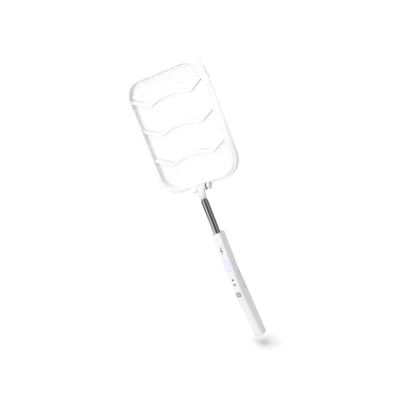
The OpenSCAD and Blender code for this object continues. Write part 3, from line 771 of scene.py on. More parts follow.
# %% [markdown]
# The front frame is one moulding: a bar with a raised inner rim and a lower outer step, three wing
# ribs across the opening, and two ears at its foot that hold the hinge bolt. The bar and the ribs
# are sweeps, the ears are extruded, and an exact join makes them one closed solid.

# %% The front frame's bar
front_frame = sweep("head_front", head_path, True, bar_section([
    (0, split, 0.3), (0, face + 1.8, 1.2), (4.5, face + 1.8, 0.15), (4.9, face + 2.6, 0.1),
    (5.4, face + 1.4, 0.1), (5.6, face, 0.6),
    (11, face, 1.0), (11, net_front, 0.2), (8.6, net_front, 0), (8.6, face + 3.6, 0.3),
    (2.2, face + 3.6, 0.5), (2.2, split, 0.2)]), shell_white)

# %% The wing ribs
RIB_LEVELS = (65.5 * MM, 133.6 * MM, 201.7 * MM)
RIB_KINK = 51 * MM
RIB_DOME = 10.5 * MM
RIB_RISE = 20.4 * MM
KINK_SOFTNESS = 1.6 * MM


def rib_path(level):
    """A rib's middle line: an arched middle between straight ends that climb to the frame."""
    end_x = side_x(level + RIB_RISE) - BAR
    points = []
    for k in range(-40, 41):
        x = (end_x + 1.2 * MM) * k / 40
        dome = RIB_DOME * (1 - (x / RIB_KINK) ** 2)
        climb = RIB_RISE * (abs(x) - RIB_KINK) / (end_x - RIB_KINK)
        height = (dome + climb + math.hypot(dome - climb, KINK_SOFTNESS)) / 2
        points.append(Vector((x, 0, head_foot + level + height)))
    return points


def rib_section(front, rear):
    """A channel: two raised lines along the edges of a band, from depth front to rear."""
    sink = 0.55 if front < rear else -0.55
    corners = [(-3.5, rear, 0), (-3.5, front, 0.4), (-2.3, front, 0.3), (-1.9, front + sink, 0.2),
               (1.9, front + sink, 0.2), (2.3, front, 0.3), (3.5, front, 0.4), (3.5, rear, 0)]
    return [(-depth * MM, across * MM) for across, depth in rounded(corners, 3)]


front_ribs = [sweep("rib", rib_path(level), False,
                    rib_section(net_front - 3.5, net_front - 0.02), shell_white)
              for level in RIB_LEVELS]

# %% The ears
hinge = Vector(next(j["pos_m"] for j in frame["joints"] if j["name"] == "head_fold"))
KNUCKLE_R = 7.5 * MM
EAR_IN, EAR_OUT = 12.3 * MM, 24 * MM
cap_low, cap_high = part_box("hinge_cap")
CAP_X = cap_low.x
disc_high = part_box("spring_washer")[1].x


def ear(name, x_from, x_to):
    """A round eye on the hinge axis that runs into the bar, with softened edges."""
    root = [(head_front + 13.2 * MM, head_foot), (head_front + 13.2 * MM, head_foot + 6 * MM),
            (head_front + 2.2 * MM, head_foot + 6 * MM), (head_front + 2.2 * MM, head_foot)]
    eye = [(hinge.y + KNUCKLE_R * math.cos(math.tau * k / 48),
            hinge.z + KNUCKLE_R * math.sin(math.tau * k / 48)) for k in range(48)]
    obj = make_object(name, [(x, y, z) for x in (x_from, x_to) for y, z in eye + root])
    work = bmesh.new()
    work.from_mesh(obj.data)
    hull = bmesh.ops.convex_hull(work, input=work.verts)
    spare = [v for v in hull["geom_interior"] if isinstance(v, bmesh.types.BMVert)]
    bmesh.ops.delete(work, geom=spare, context="VERTS")
    bmesh.ops.dissolve_limit(work, angle_limit=0.02, verts=work.verts, edges=work.edges)
    work.to_mesh(obj.data)
    work.free()
    modifier = obj.modifiers.new("bevel", "BEVEL")
    modifier.width, modifier.segments, modifier.angle_limit = 0.7 * MM, 3, math.radians(50)
    return clean(bake(obj))


def hinge_post(x_from, x_to, radius, sides=48):
    """A cylinder on the hinge axis, used as a cutter."""
    return lathe("post", [(0, x_from), (radius, x_from), (radius, x_to), (0, x_to)],
                 (0, hinge.y, hinge.z), "X", sides)


ears = [ear("ear_left", -EAR_OUT, -EAR_IN), ear("ear_right", disc_high + 0.3 * MM, CAP_X)]
combine(front_frame, front_ribs + ears, "UNION")
combine(front_frame, [
    hinge_post(-EAR_IN, disc_high + 0.3 * MM, KNUCKLE_R + 0.7 * MM),
    hinge_post(-EAR_OUT - MM, CAP_X + MM, 3 * MM),
    hinge_post(CAP_X - 2.4 * MM, CAP_X + MM, 5.2 * MM),
    hinge_post(CAP_X, CAP_X + 3 * MM, KNUCKLE_R),
    hinge_post(-EAR_OUT - MM, -EAR_OUT + 3 * MM, 4.8 * MM)], "DIFFERENCE")
place_piece(front_frame, shell_white, "head_front_frame")

# %% [markdown]
# The rear frame closes the head from behind. It stands slightly inside the front one, so a thin
# shadow line runs round the side, and its back carries the screw seats and its own ribs. Its white
# is painted darker than the front frame's, as painted shade on that set-back strip.

# %% The rear frame
rear_frame = sweep("head_rear", head_path, True, bar_section([
    (2.2, split, 0.1), (0.8, split + 1.2, 0.2), (0.8, back - 1.1, 0.6), (2.0, back, 0.6),
    (11, back, 0.9),
    (11, net_rear, 0.2), (8.6, net_rear, 0), (8.6, back - 1.8, 0.3), (3.2, back - 1.8, 0.4),
    (3.2, split, 0.1)]), rear_white_painted_shade)
rear_ribs = [sweep("rib", rib_path(level), False,
                   rib_section(net_rear + 3, net_rear + 0.02), rear_white_painted_shade)
             for level in RIB_LEVELS]
combine(rear_frame, rear_ribs, "UNION")

SCREW_INSET = 5 * MM
places_side = [(side_x(h * MM) - SCREW_INSET, h * MM) for h in (70, 200)]
screw_spots = ([(s * x, z) for s in (-1, 1) for x, z in places_side]
               + [(s * 45 * MM, head_height - SCREW_INSET) for s in (-1, 1)]
               + [(s * 62 * MM, SCREW_INSET) for s in (-1, 1)])


def y_post(x, z, y_from, y_to, radius, sides=32):
    """A cylinder along Y, used as a cutter."""
    return lathe("post", [(0, y_from), (radius, y_from), (radius, y_to), (0, y_to)],
                 (x, 0, z), "Y", sides)


combine(rear_frame, [y_post(x, head_foot + z, head_back - 1.6 * MM, head_back + MM, 2.8 * MM)
                     for x, z in screw_spots], "DIFFERENCE")
place_piece(rear_frame, rear_white_painted_shade, "head_rear_frame")


# %% [markdown]
# All the screws are alike: a pan head with a cross recess over a short threaded shank. One screw is
# turned, its recess is cut, and the repeat tree sets a copy at each place.


# %% Screws
def screw(length, head_radius, head_height, shank_radius):
    """A pan-head screw along Y with its head's top at y = 0 and its shank towards -Y."""
    turns = 8
    thread = []
    for k in range(turns * 2):
        y = -head_height - (length - head_height - 1.5 * MM) * k / (turns * 2 - 1)
        thread.append((shank_radius * (1.0 if k % 2 else 0.82), y))
    body = lathe("screw", [(0, 0), (head_radius * 0.7, 0), (head_radius, -head_height * 0.45),
                           (head_radius, -head_height)] + thread
                 + [(shank_radius * 0.8, -length + 1.2 * MM), (0, -length)], axis="Y", steps=24)
    arm, deep, thin = head_radius * 0.55, head_height * 0.6, 0.32 * MM
    bars = [block("bar", (-arm, -deep, -thin), (arm, MM, thin)),
            block("bar", (-thin, -deep, -arm), (thin, MM, arm))]
    return combine(body, bars, "DIFFERENCE")


head_screws = repeat("head_screws_set", screw(12 * MM, 2.5 * MM, 1.3 * MM, 1.1 * MM),
                     [(x, head_back - 0.3 * MM, head_foot + z) for x, z in screw_spots], steel)
place_piece(head_screws, steel, "head_screws")

# %% [markdown]
# The guard nets are sheets of fine diamonds with a flat rim that the frame clamps. Two families of
# strands slope to the left and the right. For each strand the tree casts a ray both ways from a
# point on the diagonal and ends it where it meets the rim, so no strand is left hanging.

# %% Nets
DIAMOND_WIDE, DIAMOND_HIGH = 8.6 * MM, 10.6 * MM
slope = math.atan2(DIAMOND_WIDE, DIAMOND_HIGH)
head_middle_z = head_foot + head_height / 2
rim_wall = loft("rim_wall", [outline(BAR - 0.8 * MM, -0.1), outline(BAR - 0.8 * MM, 0.1)], "open")


def strands(name, y, angle, spacing, width, depth, material):
    """A family of parallel strands, turned by an angle from upright, within the rim."""
    direction = Vector((math.sin(angle), 0, math.cos(angle)))
    sideways = Vector((math.cos(angle), 0, -math.sin(angle)))
    corner = Vector((head_half - LIP, 0, -math.copysign(head_height / 2 - LIP, angle)))
    if angle == 0:
        corner = Vector((head_half - LIP, 0, 0))
    if abs(angle) > 1.5:
        corner = Vector((0, 0, -(head_height / 2 - LIP)))
    count = 2 * int(corner.dot(sideways) / spacing) + 1
    obj = make_object(name, [(0, 0, 0)])
    return run_tree(obj, strand_tree, {
        "Rim": rim_wall, "Middle": Vector((0, y, head_middle_z)), "Along": direction,
        "Across": sideways, "Corner": corner, "Spacing": spacing, "Count": count,
        "Width": width, "Depth": depth, "Finish": material})


def net_rim(name, y_low, y_high, material):
    """The flat rim of a net, gripped between the frame's lips."""
    return sweep(name, head_path, True, bar_section([
        (8.7, y_low / MM, 0.1), (11.5, y_low / MM, 0.15), (11.5, y_high / MM, 0.15),
        (8.7, y_high / MM, 0.1)]), material)


def guard_net(name, node):
    low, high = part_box(node)
    y = (low.y + high.y) / 2
    step = DIAMOND_WIDE * math.cos(slope)
    parts = [strands("strands", y + s * 0.1 * MM, s * slope, step, 0.95 * MM, 0.5 * MM, net_white_painted_glow)
             for s in (-1, 1)]
    net = merge(name, parts + [net_rim("rim", low.y, high.y, net_white_painted_glow)])
    return place_piece(net, net_white_painted_glow, node)


guard_net("front_net", "front_guard_net")
guard_net("rear_net", "rear_guard_net")

# %% [markdown]
# Between the guard nets hangs the live grid: upright wires on a flat rim, tied by cross wires.

# %% Live grid, spacers and terminals
grid_low, grid_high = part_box("high_voltage_grid")
grid_y = (grid_low.y + grid_high.y) / 2
grid = merge("live_grid", [
    strands("wires", grid_y, 0, 4.8 * MM, 0.8 * MM, 0.7 * MM, grid_white_painted_glow),
    strands("ties", grid_y, math.radians(90), head_height / 6, 1.2 * MM, 0.5 * MM, grid_white_painted_glow),
    net_rim("rim", grid_low.y, grid_high.y, grid_white_painted_glow)])
place_piece(grid, grid_white_painted_glow, "high_voltage_grid")

for node in ("front_net_spacer", "rear_net_spacer"):
    low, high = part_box(node)
    spacer = sweep(node + "_ring", head_path, True, bar_section([
        (8.7, low.y / MM, 0.15), (10.9, low.y / MM, 0.2), (10.9, high.y / MM, 0.2),
        (8.7, high.y / MM, 0.15)]), inner_moulding)
    place_piece(spacer, inner_moulding, node)
bpy.data.objects.remove(rim_wall)

# %% [markdown]
# ## The hinge and the neck
# The neck is a stout moulding: a stepped round collar on the pole that turns into a flattened stem
# and runs into a barrel on the hinge axis. The stem is a loft of rings that change from round to
# square, and the barrel is turned.

# %% The neck
neck_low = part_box("neck")[0]
POLE_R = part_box("outer_tube")[1].x
INNER_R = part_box("inner_tube")[1].x
COLLAR_R = POLE_R - 0.3 * MM
COLLAR_RISE = 6.5 * MM
STEM_HALF = 7.0 * MM
STEM_DEPTH = 6.4 * MM
KNUCKLE_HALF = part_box("neck")[1].x


def squared_ring(half_x, half_y, centre_y, z, squareness, count=64):
    """A ring at height z between round (2) and square (8 or more)."""
    points = []
    for k in range(count):
        a = math.tau * k / count
        c, s = math.cos(a), math.sin(a)
        x = math.copysign(abs(c) ** (2 / squareness), c) * half_x
        y = math.copysign(abs(s) ** (2 / squareness), s) * half_y
        points.append(Vector((x, centre_y + y, z)))
    return points


def eased(t):
    t = min(max(t, 0.0), 1.0)
    return t * t * (3 - 2 * t)


collar_z = neck_low.z + COLLAR_RISE
rings = []
for rise, radius in ((0, 7.1), (0.25, 7.35), (2.0, 7.5), (2.2, 7.2), (2.7, 7.2), (2.9, 7.65),
                     (6.0, 8.1), (6.5, 8.2), (8.2, 8.2), (8.5, 7.95), (9.0, 7.95)):
    rings.append(squared_ring(radius * MM, radius * MM, 0, neck_low.z + rise * MM, 2))
STEM_STEPS = 22
stem_from = neck_low.z + 9.3 * MM
for k in range(STEM_STEPS + 1):
    t = k / STEM_STEPS
    z = stem_from + (hinge.z + 1.5 * MM - stem_from) * t
    flare = 2.6 * MM * eased((t - 0.55) / 0.45) ** 2
    half_x = COLLAR_R + (STEM_HALF - COLLAR_R) * eased(t * 1.4) + flare
    half_y = COLLAR_R + (STEM_DEPTH - COLLAR_R) * eased(t)
    rings.append(squared_ring(half_x, half_y, hinge.y * t ** 1.15, z, 2 + 2.4 * eased(t)))
neck = loft("hinge_neck", rings)
barrel = lathe("barrel", [(0, -KNUCKLE_HALF), (6.9 * MM, -KNUCKLE_HALF),
                          (KNUCKLE_R, -KNUCKLE_HALF + 0.6 * MM),
                          (KNUCKLE_R, KNUCKLE_HALF - 0.6 * MM), (6.9 * MM, KNUCKLE_HALF),
                          (0, KNUCKLE_HALF)], (0, hinge.y, hinge.z), "X", 96)
combine(neck, [barrel], "UNION")
combine(neck, [
    lathe("post", [(0, neck_low.z - MM), (INNER_R, neck_low.z - MM),
                   (INNER_R, neck_low.z + 9.8 * MM), (0, neck_low.z + 9.8 * MM)]),
    lathe("post", [(0, -12.8 * MM), (1.25 * MM, -12.8 * MM), (1.25 * MM, 12.8 * MM),
                   (0, 12.8 * MM)], (0, 0, collar_z), "X", 24),
    hinge_post(-KNUCKLE_HALF - MM, KNUCKLE_HALF + MM, 3.05 * MM)], "DIFFERENCE")
place_piece(neck, stem_white, "neck")

# %% [markdown]
# The bolt runs through ears and barrel. A nylon disc with radial teeth gives the hinge its clicks,
# a dished washer presses it, and a grey cap covers the bolt's head.

# %% Hinge hardware
at_hinge = (0, hinge.y, hinge.z)
bolt = lathe("hinge_bolt_turned", [
    (0, -EAR_OUT + 0.4 * MM), (2.5 * MM, -EAR_OUT + 0.4 * MM), (3 * MM, -EAR_OUT + 0.9 * MM),
    (3 * MM, CAP_X - 2.4 * MM), (5 * MM, CAP_X - 2.4 * MM), (5 * MM, CAP_X - 0.6 * MM),
    (4.5 * MM, CAP_X - 0.2 * MM), (0, CAP_X - 0.2 * MM)], at_hinge, "X", 64)
place_piece(bolt, steel, "hinge_bolt")
nut = lathe("hinge_nut_cut", [
    (3 * MM, -EAR_OUT + 0.5 * MM), (4.1 * MM, -EAR_OUT + 0.5 * MM), (4.6 * MM, -EAR_OUT + 0.8 * MM),
    (4.6 * MM, -EAR_OUT + 3 * MM), (3 * MM, -EAR_OUT + 3 * MM)], at_hinge, "X", 6)
place_piece(nut, steel, "hinge_nut")
cap = lathe("hinge_cap_turned", [
    (0, CAP_X), (7.3 * MM, CAP_X), (7.3 * MM, CAP_X + 0.6 * MM), (7.05 * MM, CAP_X + 0.9 * MM),
    (6.7 * MM, CAP_X + MM), (6.4 * MM, CAP_X + 0.8 * MM), (6.1 * MM, CAP_X + MM),
    (5.2 * MM, cap_high.x - 0.2 * MM), (4.0 * MM, cap_high.x - 0.05 * MM), (0, cap_high.x)],
    at_hinge, "X", 72)
place_piece(cap, grey_moulding, "hinge_cap")

disc_low, disc_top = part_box("detent_disc")
disc = lathe("detent_ring", [
    (3.05 * MM, disc_low.x), (6.3 * MM, disc_low.x), (6.7 * MM, disc_low.x + 0.4 * MM),
    (6.7 * MM, disc_top.x - 0.9 * MM), (6.2 * MM, disc_top.x - 0.6 * MM),
    (3.05 * MM, disc_top.x - 0.6 * MM)], at_hinge, "X", 72)
TEETH = 24
teeth = []
for k in range(TEETH):
    tooth = block("tooth", (disc_top.x - 0.8 * MM, 3.5 * MM, -0.3 * MM),
                  (disc_top.x, 6.2 * MM, 0.3 * MM), 0.12 * MM)
    tooth_turn = Matrix.Rotation(math.tau * k / TEETH, 4, "X")
    tooth.data.transform(Matrix.Translation(at_hinge) @ tooth_turn)
    teeth.append(tooth)
place_piece(merge("detent_disc_toothed", [disc] + teeth), nylon, "detent_disc")
washer_low, washer_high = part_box("spring_washer")
washer = lathe("spring_washer_dished", [
    (3.05 * MM, washer_low.x + 1.1 * MM), (5.6 * MM, washer_low.x),
    (5.9 * MM, washer_low.x + 0.3 * MM),
    (5.9 * MM, washer_low.x + 0.8 * MM), (3.05 * MM, washer_high.x)], at_hinge, "X", 72)
place_piece(washer, steel, "spring_washer")
pin_low, pin_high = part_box("neck_pin")
pin = lathe("neck_pin_turned", [
    (0, pin_low.x), (1.0 * MM, pin_low.x), (1.25 * MM, pin_low.x + 0.3 * MM),
    (1.25 * MM, pin_high.x - 0.3 * MM), (1.0 * MM, pin_high.x), (0, pin_high.x)],
    (0, 0, collar_z), "X", 32)
place_piece(pin, steel, "neck_pin")

# %% [markdown]
# ## The pole
# Three drawn tubes slide in one another. Each is straight and then spun in at its mouth, so that it
# closes softly on the next. A lathe with many steps keeps the chrome's reflections unbroken.

# %% Tubes
MOUTH_STEPS = 10


def drawn_tube(name, node, radius, bore, mouth_radius, mouth_bore, spin):
    low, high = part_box(node)
    outer, inner = [], []
    for k in range(MOUTH_STEPS + 1):
        share = 1 - math.cos(math.pi / 2 * k / MOUTH_STEPS)
        z = high.z - spin + spin * k / MOUTH_STEPS
        outer.append((radius - (radius - mouth_radius) * share, z))
        inner.append((bore - (bore - mouth_bore) * share, z))
    tube = lathe(name, [(bore, low.z), (radius, low.z)] + outer + inner[::-1], steps=128)
    return place_piece(tube, chrome, node)


MID_R = INNER_R + 1.2 * MM
drawn_tube("pole_outer", "outer_tube", POLE_R, POLE_R - 0.8 * MM, MID_R + 0.7 * MM,
           MID_R + 0.05 * MM, 6.5 * MM)
drawn_tube("pole_middle", "middle_tube", MID_R, MID_R - 0.6 * MM, INNER_R + 0.5 * MM,
           INNER_R + 0.05 * MM, 4 * MM)
inner_low, inner_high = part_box("inner_tube")
inner_tube = lathe("pole_inner", [
    (INNER_R - 0.6 * MM, inner_low.z), (INNER_R - 0.1 * MM, inner_low.z),
    (INNER_R, inner_low.z + 0.2 * MM), (INNER_R, inner_high.z), (INNER_R - 0.6 * MM, inner_high.z)],
    steps=96)
place_piece(inner_tube, chrome, "inner_tube")
for node, bore in (("middle_tube_bush", MID_R), ("inner_tube_bush", INNER_R)):
    low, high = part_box(node)
    edge, groove = 0.3 * MM, 0.12 * MM
    outline_points = [(bore, low.z), (high.x - edge, low.z), (high.x, low.z + edge)]
    for level in (3, 6, 9):
        z = low.z + level * MM
        outline_points += [(high.x, z - edge), (high.x - groove, z), (high.x, z + edge)]
    outline_points += [(high.x, high.z - edge), (high.x - edge, high.z), (bore, high.z)]
    place_piece(lathe(node + "_turned", outline_points, steps=96), brass, node)

# %% [markdown]
# The high-voltage lead is coiled inside the inner tube so that it can follow the pole. A helix by
# formula gives its line, and the sweep tree would twist on it, so a bevelled curve makes the round
# section.

# %% Coiled lead
lead_low, lead_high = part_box("coiled_lead")
LEAD_R = 1.05 * MM
coil_r = lead_high.x - LEAD_R
turns = int((lead_high.z - lead_low.z - 2 * LEAD_R) / (2.6 * MM))
curve = bpy.data.curves.new("coil", "CURVE")
curve.dimensions, curve.bevel_depth, curve.bevel_resolution = "3D", LEAD_R, 1
curve.use_fill_caps = True
line = curve.splines.new("POLY")
COIL_POINTS = 14
total = turns * COIL_POINTS
line.points.add(total)
for k in range(total + 1):
    a = math.tau * k / COIL_POINTS
    z = lead_low.z + LEAD_R + (lead_high.z - lead_low.z - 2 * LEAD_R) * k / total
    line.points[k].co = (coil_r * math.cos(a), coil_r * math.sin(a), z, 1)
coil = bpy.data.objects.new("coiled_lead_wound", curve)
bpy.context.scene.collection.objects.link(coil)
bpy.context.view_layer.update()
depsgraph = bpy.context.evaluated_depsgraph_get()
coil_mesh = bpy.data.meshes.new_from_object(coil.evaluated_get(depsgraph))
bpy.data.objects.remove(coil)
coil = bpy.data.objects.new("coiled_lead_wound", coil_mesh)
bpy.context.scene.collection.objects.link(coil)
place_piece(clean(coil), rubber, "coiled_lead")

# %% [markdown]
# ## The handle
# The handle is a rounded box that stays straight above, bulges behind and leans back below. Three
# formulas give its front, its back and the line where its two shells meet; its corners are crisp
# at the top and soften downwards. Each shell is a loft of C-shaped sections with a real wall.

# %% The handle's shape
HANDLE_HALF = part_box("handle_rear_shell")[1].x
FRONT_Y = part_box("handle_front_shell")[0].y
REAR_Y = 16.5 * MM
WALL = 1.8 * MM
cap_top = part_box("handle_front_shell")[0].z


def bend(s, softness):
    """Zero before s = 0 and s after it, with a soft corner."""
    if s < -softness:
        return 0.0
    return s if s > softness else (s + softness) ** 2 / (4 * softness)


def front_at(z):
    return FRONT_Y + 0.156 * bend(106 * MM - z, 18 * MM)


def rear_at(z):
    return REAR_Y + 0.137 * bend(158 * MM - z, 14 * MM) - 0.061 * bend(102 * MM - z, 14 * MM)


def part_at(z):
    return front_at(z) + 12 * MM


def corner_at(z):
    return (2.0 + 2.4 * eased((190 * MM - z) / (150 * MM))) * MM


def crown(x):
    """How far the front and rear faces fall back from their middle line at a place across."""
    return 0.8 * MM * (x / HANDLE_HALF) ** 2


def half_section(z, inset, front, steps=8):
    """From the parting line on +X, round the front or the rear face, to the one on -X."""
    x = HANDLE_HALF - inset
    y = front_at(z) + inset if front else rear_at(z) - inset
    sign = -1 if front else 1
    r = max(corner_at(z) - inset, 0.7 * MM)
    gap = sign * 0.06 * MM
    arc = [(x - r + r * math.cos(math.pi / 2 * k / steps),
            y - sign * r + sign * r * math.sin(math.pi / 2 * k / steps)) for k in range(steps + 1)]
    flat = [((x - r) * (1 - k / 4), y) for k in (1, 2, 3)]
    quarter = arc + flat
    whole = quarter + [(0, y)] + [(-u, v) for u, v in reversed(quarter)]
    face_points = [Vector((u, v - sign * crown(u), z)) for u, v in whole]
    edge = part_at(z) + gap
    return ([Vector((x - 0.25 * MM, edge, z)), Vector((x, edge + sign * 0.25 * MM, z))]
            + face_points
            + [Vector((-x, edge + sign * 0.25 * MM, z)), Vector((-x + 0.25 * MM, edge, z))])


def shell(name, front):
    """A half shell of the handle, with its mouth's edge rounded."""
    levels = [(cap_top / MM, 0.3), (cap_top / MM + 0.3, 0)]
    levels += [(z, 0) for z in range(12, 184, 4)] + [(z, 0) for z in (196, 210, 224, 238)]
    levels += [(handle_top / MM - drop, inset)
               for drop, inset in ((1, 0), (0.5, 0.12), (0.15, 0.4), (0, 0.8))]
    rings = []
    for z, inset in levels:
        outer = half_section(z * MM, inset * MM, front)
        inner = half_section(z * MM, WALL, front)
        rings.append(outer + inner[::-1])
    return loft(name, rings)


# %% [markdown]
# The button's hole and the slot for the slider are stadiums, a shape with straight sides and round
# ends. Their cutters flare at the surface, which leaves a small chamfer round each opening.


# %% Front shell
def stadium(width, height, grow=0.0, steps=14):
    """A flat stadium as (across, up) pairs, grown by a margin."""
    r = width / 2
    straight = max(height / 2 - r, 0)
    return [((r + grow) * math.cos(a), (r + grow) * math.sin(a) + side * straight)
            for side, begin in ((1, 0), (-1, 180))
            for a in (math.radians(begin + 180 * k / steps) for k in range(steps + 1))]


def stadium_stack(name, width, height, z, levels):
    """A stack of stadiums along Y, each given as (y, growth)."""
    return loft(name, [[Vector((a, y, z + b)) for a, b in stadium(width, height, grow)]
                       for y, grow in levels])


BUTTON_W, BUTTON_H = 14 * MM, 27 * MM
button_z = button_middle.z
front_shell = shell("handle_front", True)
flare = [(FRONT_Y + 4 * MM, 0), (FRONT_Y + 0.45 * MM, 0), (FRONT_Y, 0.45 * MM),
         (FRONT_Y - MM, 1.45 * MM)]
LENS_LEVELS = (140.6 * MM, 129.4 * MM)
LENS_R = 2.1 * MM
cutters = [stadium_stack("cut", BUTTON_W, BUTTON_H, button_z, flare)]
for level in LENS_LEVELS:
    cutters.append(lathe("cut", [(0, FRONT_Y + 4 * MM), (LENS_R, FRONT_Y + 4 * MM),
                                 (LENS_R, FRONT_Y + 0.3 * MM), (LENS_R + 0.3 * MM, FRONT_Y),
                                 (LENS_R + 1.3 * MM, FRONT_Y - MM), (0, FRONT_Y - MM)],
                         (0, 0, level), "Y", 48))


def arc_groove(level, radius, depth, reach):
    """A thin arched groove across the front face, as a cutter that follows the face."""
    rings = []
    for k in range(25):
        x = reach * (k / 12 - 1)
        z = level + math.sqrt(radius ** 2 - x ** 2) - radius
        y = front_at(z) + crown(x)
        rings.append([Vector((x, y - 0.5 * MM, z - 0.5 * MM)),
                      Vector((x, y - 0.5 * MM, z + 0.5 * MM)),
                      Vector((x, y + depth * 0.4, z + 0.34 * MM)), Vector((x, y + depth, z)),
                      Vector((x, y + depth * 0.4, z - 0.34 * MM))])
    return loft("groove", rings)


GROOVE_LEVELS = (91 * MM, 86.5 * MM, 82 * MM)
cutters += [arc_groove(level, 16 * MM, 0.5 * MM, 7.2 * MM) for level in GROOVE_LEVELS]
combine(front_shell, cutters, "DIFFERENCE")
place_piece(front_shell, shell_white, "handle_front_shell")

# %% [markdown]
# The rear shell carries the slider's pocket on its right side, four screw seats at its back and a
# shallow finger ridge. The pocket's pan is joined first and then hollowed.

# %% Rear shell
slider_low, slider_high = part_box("mode_slider")
slider_z = (slider_low.z + slider_high.z) / 2
SLIDER_Y = 9.6 * MM
SLOT_L = 45 * MM
SLOT_W = 7 * MM
POCKET_X = 8.3 * MM
rear_shell = shell("handle_rear", False)
pan = block("pan", (POCKET_X - 1.5 * MM, SLIDER_Y - 5 * MM, slider_z - SLOT_L / 2 - 1.5 * MM),
            (HANDLE_HALF - 0.9 * MM, SLIDER_Y + 5 * MM, slider_z + SLOT_L / 2 + 1.5 * MM), 0.3 * MM)
combine(rear_shell, [pan], "UNION")


def side_stack(name, width, height, levels):
    """A stack of rounded slots along X at the slider's place, each given as (x, growth)."""
    rings = []
    for x, grow in levels:
        a, b = width / 2 + grow, height / 2 + grow
        r = 1.6 * MM + grow
        corners = [(a, b, r), (-a, b, r), (-a, -b, r), (a, -b, r)]
        rings.append([Vector((x, SLIDER_Y + u, slider_z + v)) for u, v in rounded(corners, 6)])
    return loft(name, rings)


slot_cut = side_stack("cut", SLOT_W, SLOT_L, [
    (POCKET_X, 0), (HANDLE_HALF - 0.4 * MM, 0), (HANDLE_HALF, 0.4 * MM),
    (HANDLE_HALF + MM, 1.4 * MM)])
window = block("window", (POCKET_X - 4 * MM, SLIDER_Y - 1.4 * MM, slider_z - 10 * MM),
               (POCKET_X + MM, SLIDER_Y + 1.4 * MM, slider_z + 10 * MM))
screw_holes = []
clamp_low, clamp_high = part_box("clamp_screws")
long_low, long_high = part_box("handle_screws")
clamp_levels = (clamp_low.z + 2.2 * MM, clamp_high.z - 2.2 * MM)
long_z = (long_low.z + long_high.z) / 2
long_x = long_high.x - 2.2 * MM
for level in clamp_levels:
    screw_holes.append(y_post(0, level, REAR_Y - 1.1 * MM, REAR_Y + MM, 2.4 * MM))
for side in (-1, 1):
    screw_holes.append(y_post(side * long_x, long_z, long_high.y - 1.3 * MM,
                              long_high.y + 3 * MM, 2.5 * MM))
combine(rear_shell, [slot_cut, window] + screw_holes, "DIFFERENCE")
place_piece(rear_shell, shell_white, "handle_rear_shell")
long_screws = repeat("handle_screws_set",
                     screw(long_high.y - long_low.y, 2.2 * MM, 1.1 * MM, 1.1 * MM),
                     [(side * long_x, long_high.y, long_z) for side in (-1, 1)], steel)
place_piece(long_screws, steel, "handle_screws")
short_screws = repeat("clamp_screws_set",
                      screw(clamp_high.y - clamp_low.y, 2.2 * MM, 1.0 * MM, 1.1 * MM),
                      [(0, clamp_high.y, level) for level in clamp_levels], steel)
place_piece(short_screws, steel, "clamp_screws")

# %% [markdown]
# The end cap closes the foot with a small rounded edge. The charging socket looks out of a slot
# in its floor: a rolled metal shell round a thin tongue.


# %% End cap and charging socket
def full_section(z, inset, steps=8):
    front_half = half_section(z, inset, True, steps)[2:-2]
    rear_half = half_section(z, inset, False, steps)[2:-2]
    return front_half + rear_half[::-1]


cap_levels = [(0, 1.2), (0.08, 0.85), (0.3, 0.5), (0.7, 0.2), (1.3, 0.04), (2.2, 0),
              (7.6, 0), (7.95, 0.3), (8, 1.9), (10, 1.9)]
end_cap = loft("handle_end", [full_section(z * MM, inset * MM) for z, inset in cap_levels])
socket_low, socket_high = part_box("charging_socket")
socket_y = (socket_low.y + socket_high.y) / 2
cavity = block("cavity", (-7 * MM, 9.8 * MM, 1.8 * MM), (7 * MM, 26.3 * MM, 14 * MM), 0.5 * MM)
port = loft("port", [[Vector((b, socket_y + a, z)) for a, b in stadium(3.6 * MM, 9.3 * MM, grow)]
                     for z, grow in ((-MM, 1.4 * MM), (0, 0.4 * MM), (0.4 * MM, 0), (3 * MM, 0))])
combine(end_cap, [cavity, port], "DIFFERENCE")
place_piece(end_cap, shell_white, "end_cap")


def socket_ring(z, shrink):
    return [Vector((b, socket_y + a, z))
            for a, b in stadium(3.3 * MM, 9 * MM, -shrink)]


socket_shell = loft("socket_shell", [
    socket_ring(socket_high.z, 0), socket_ring(socket_low.z + 0.15 * MM, 0),
    socket_ring(socket_low.z, 0.12 * MM), socket_ring(socket_low.z + 0.05 * MM, 0.36 * MM),
    socket_ring(socket_high.z - MM, 0.36 * MM)])
tongue = block("tongue", (-3.1 * MM, socket_y - 0.33 * MM, socket_low.z + MM),
               (3.1 * MM, socket_y + 0.33 * MM, socket_high.z - 0.5 * MM), 0.15 * MM)
place_piece(merge("charging_socket_made", [socket_shell, tongue]), steel, "charging_socket")

# %% [markdown]
# ## The controls
# The power button is a low dome inside its hole, with a hidden flange that keeps it in. The two
# indicator lenses are small smoked domes. The slider has a row of grip ribs and a tongue that
# reaches its switch.

# %% Button, lenses and slider
proud_y = button_low.y
button = stadium_stack("button_dome", BUTTON_W - 0.4 * MM, BUTTON_H - 0.4 * MM, button_z, [
    (button_high.y, 1.3 * MM), (button_high.y - MM, 1.3 * MM), (button_high.y - 1.05 * MM, 0),
    (proud_y + 0.75 * MM, 0), (proud_y + 0.38 * MM, -0.2 * MM), (proud_y + 0.2 * MM, -0.6 * MM),
    (proud_y + 0.1 * MM, -1.4 * MM), (proud_y + 0.03 * MM, -3 * MM), (proud_y, -5.5 * MM)])
place_piece(button, lit, "power_button")

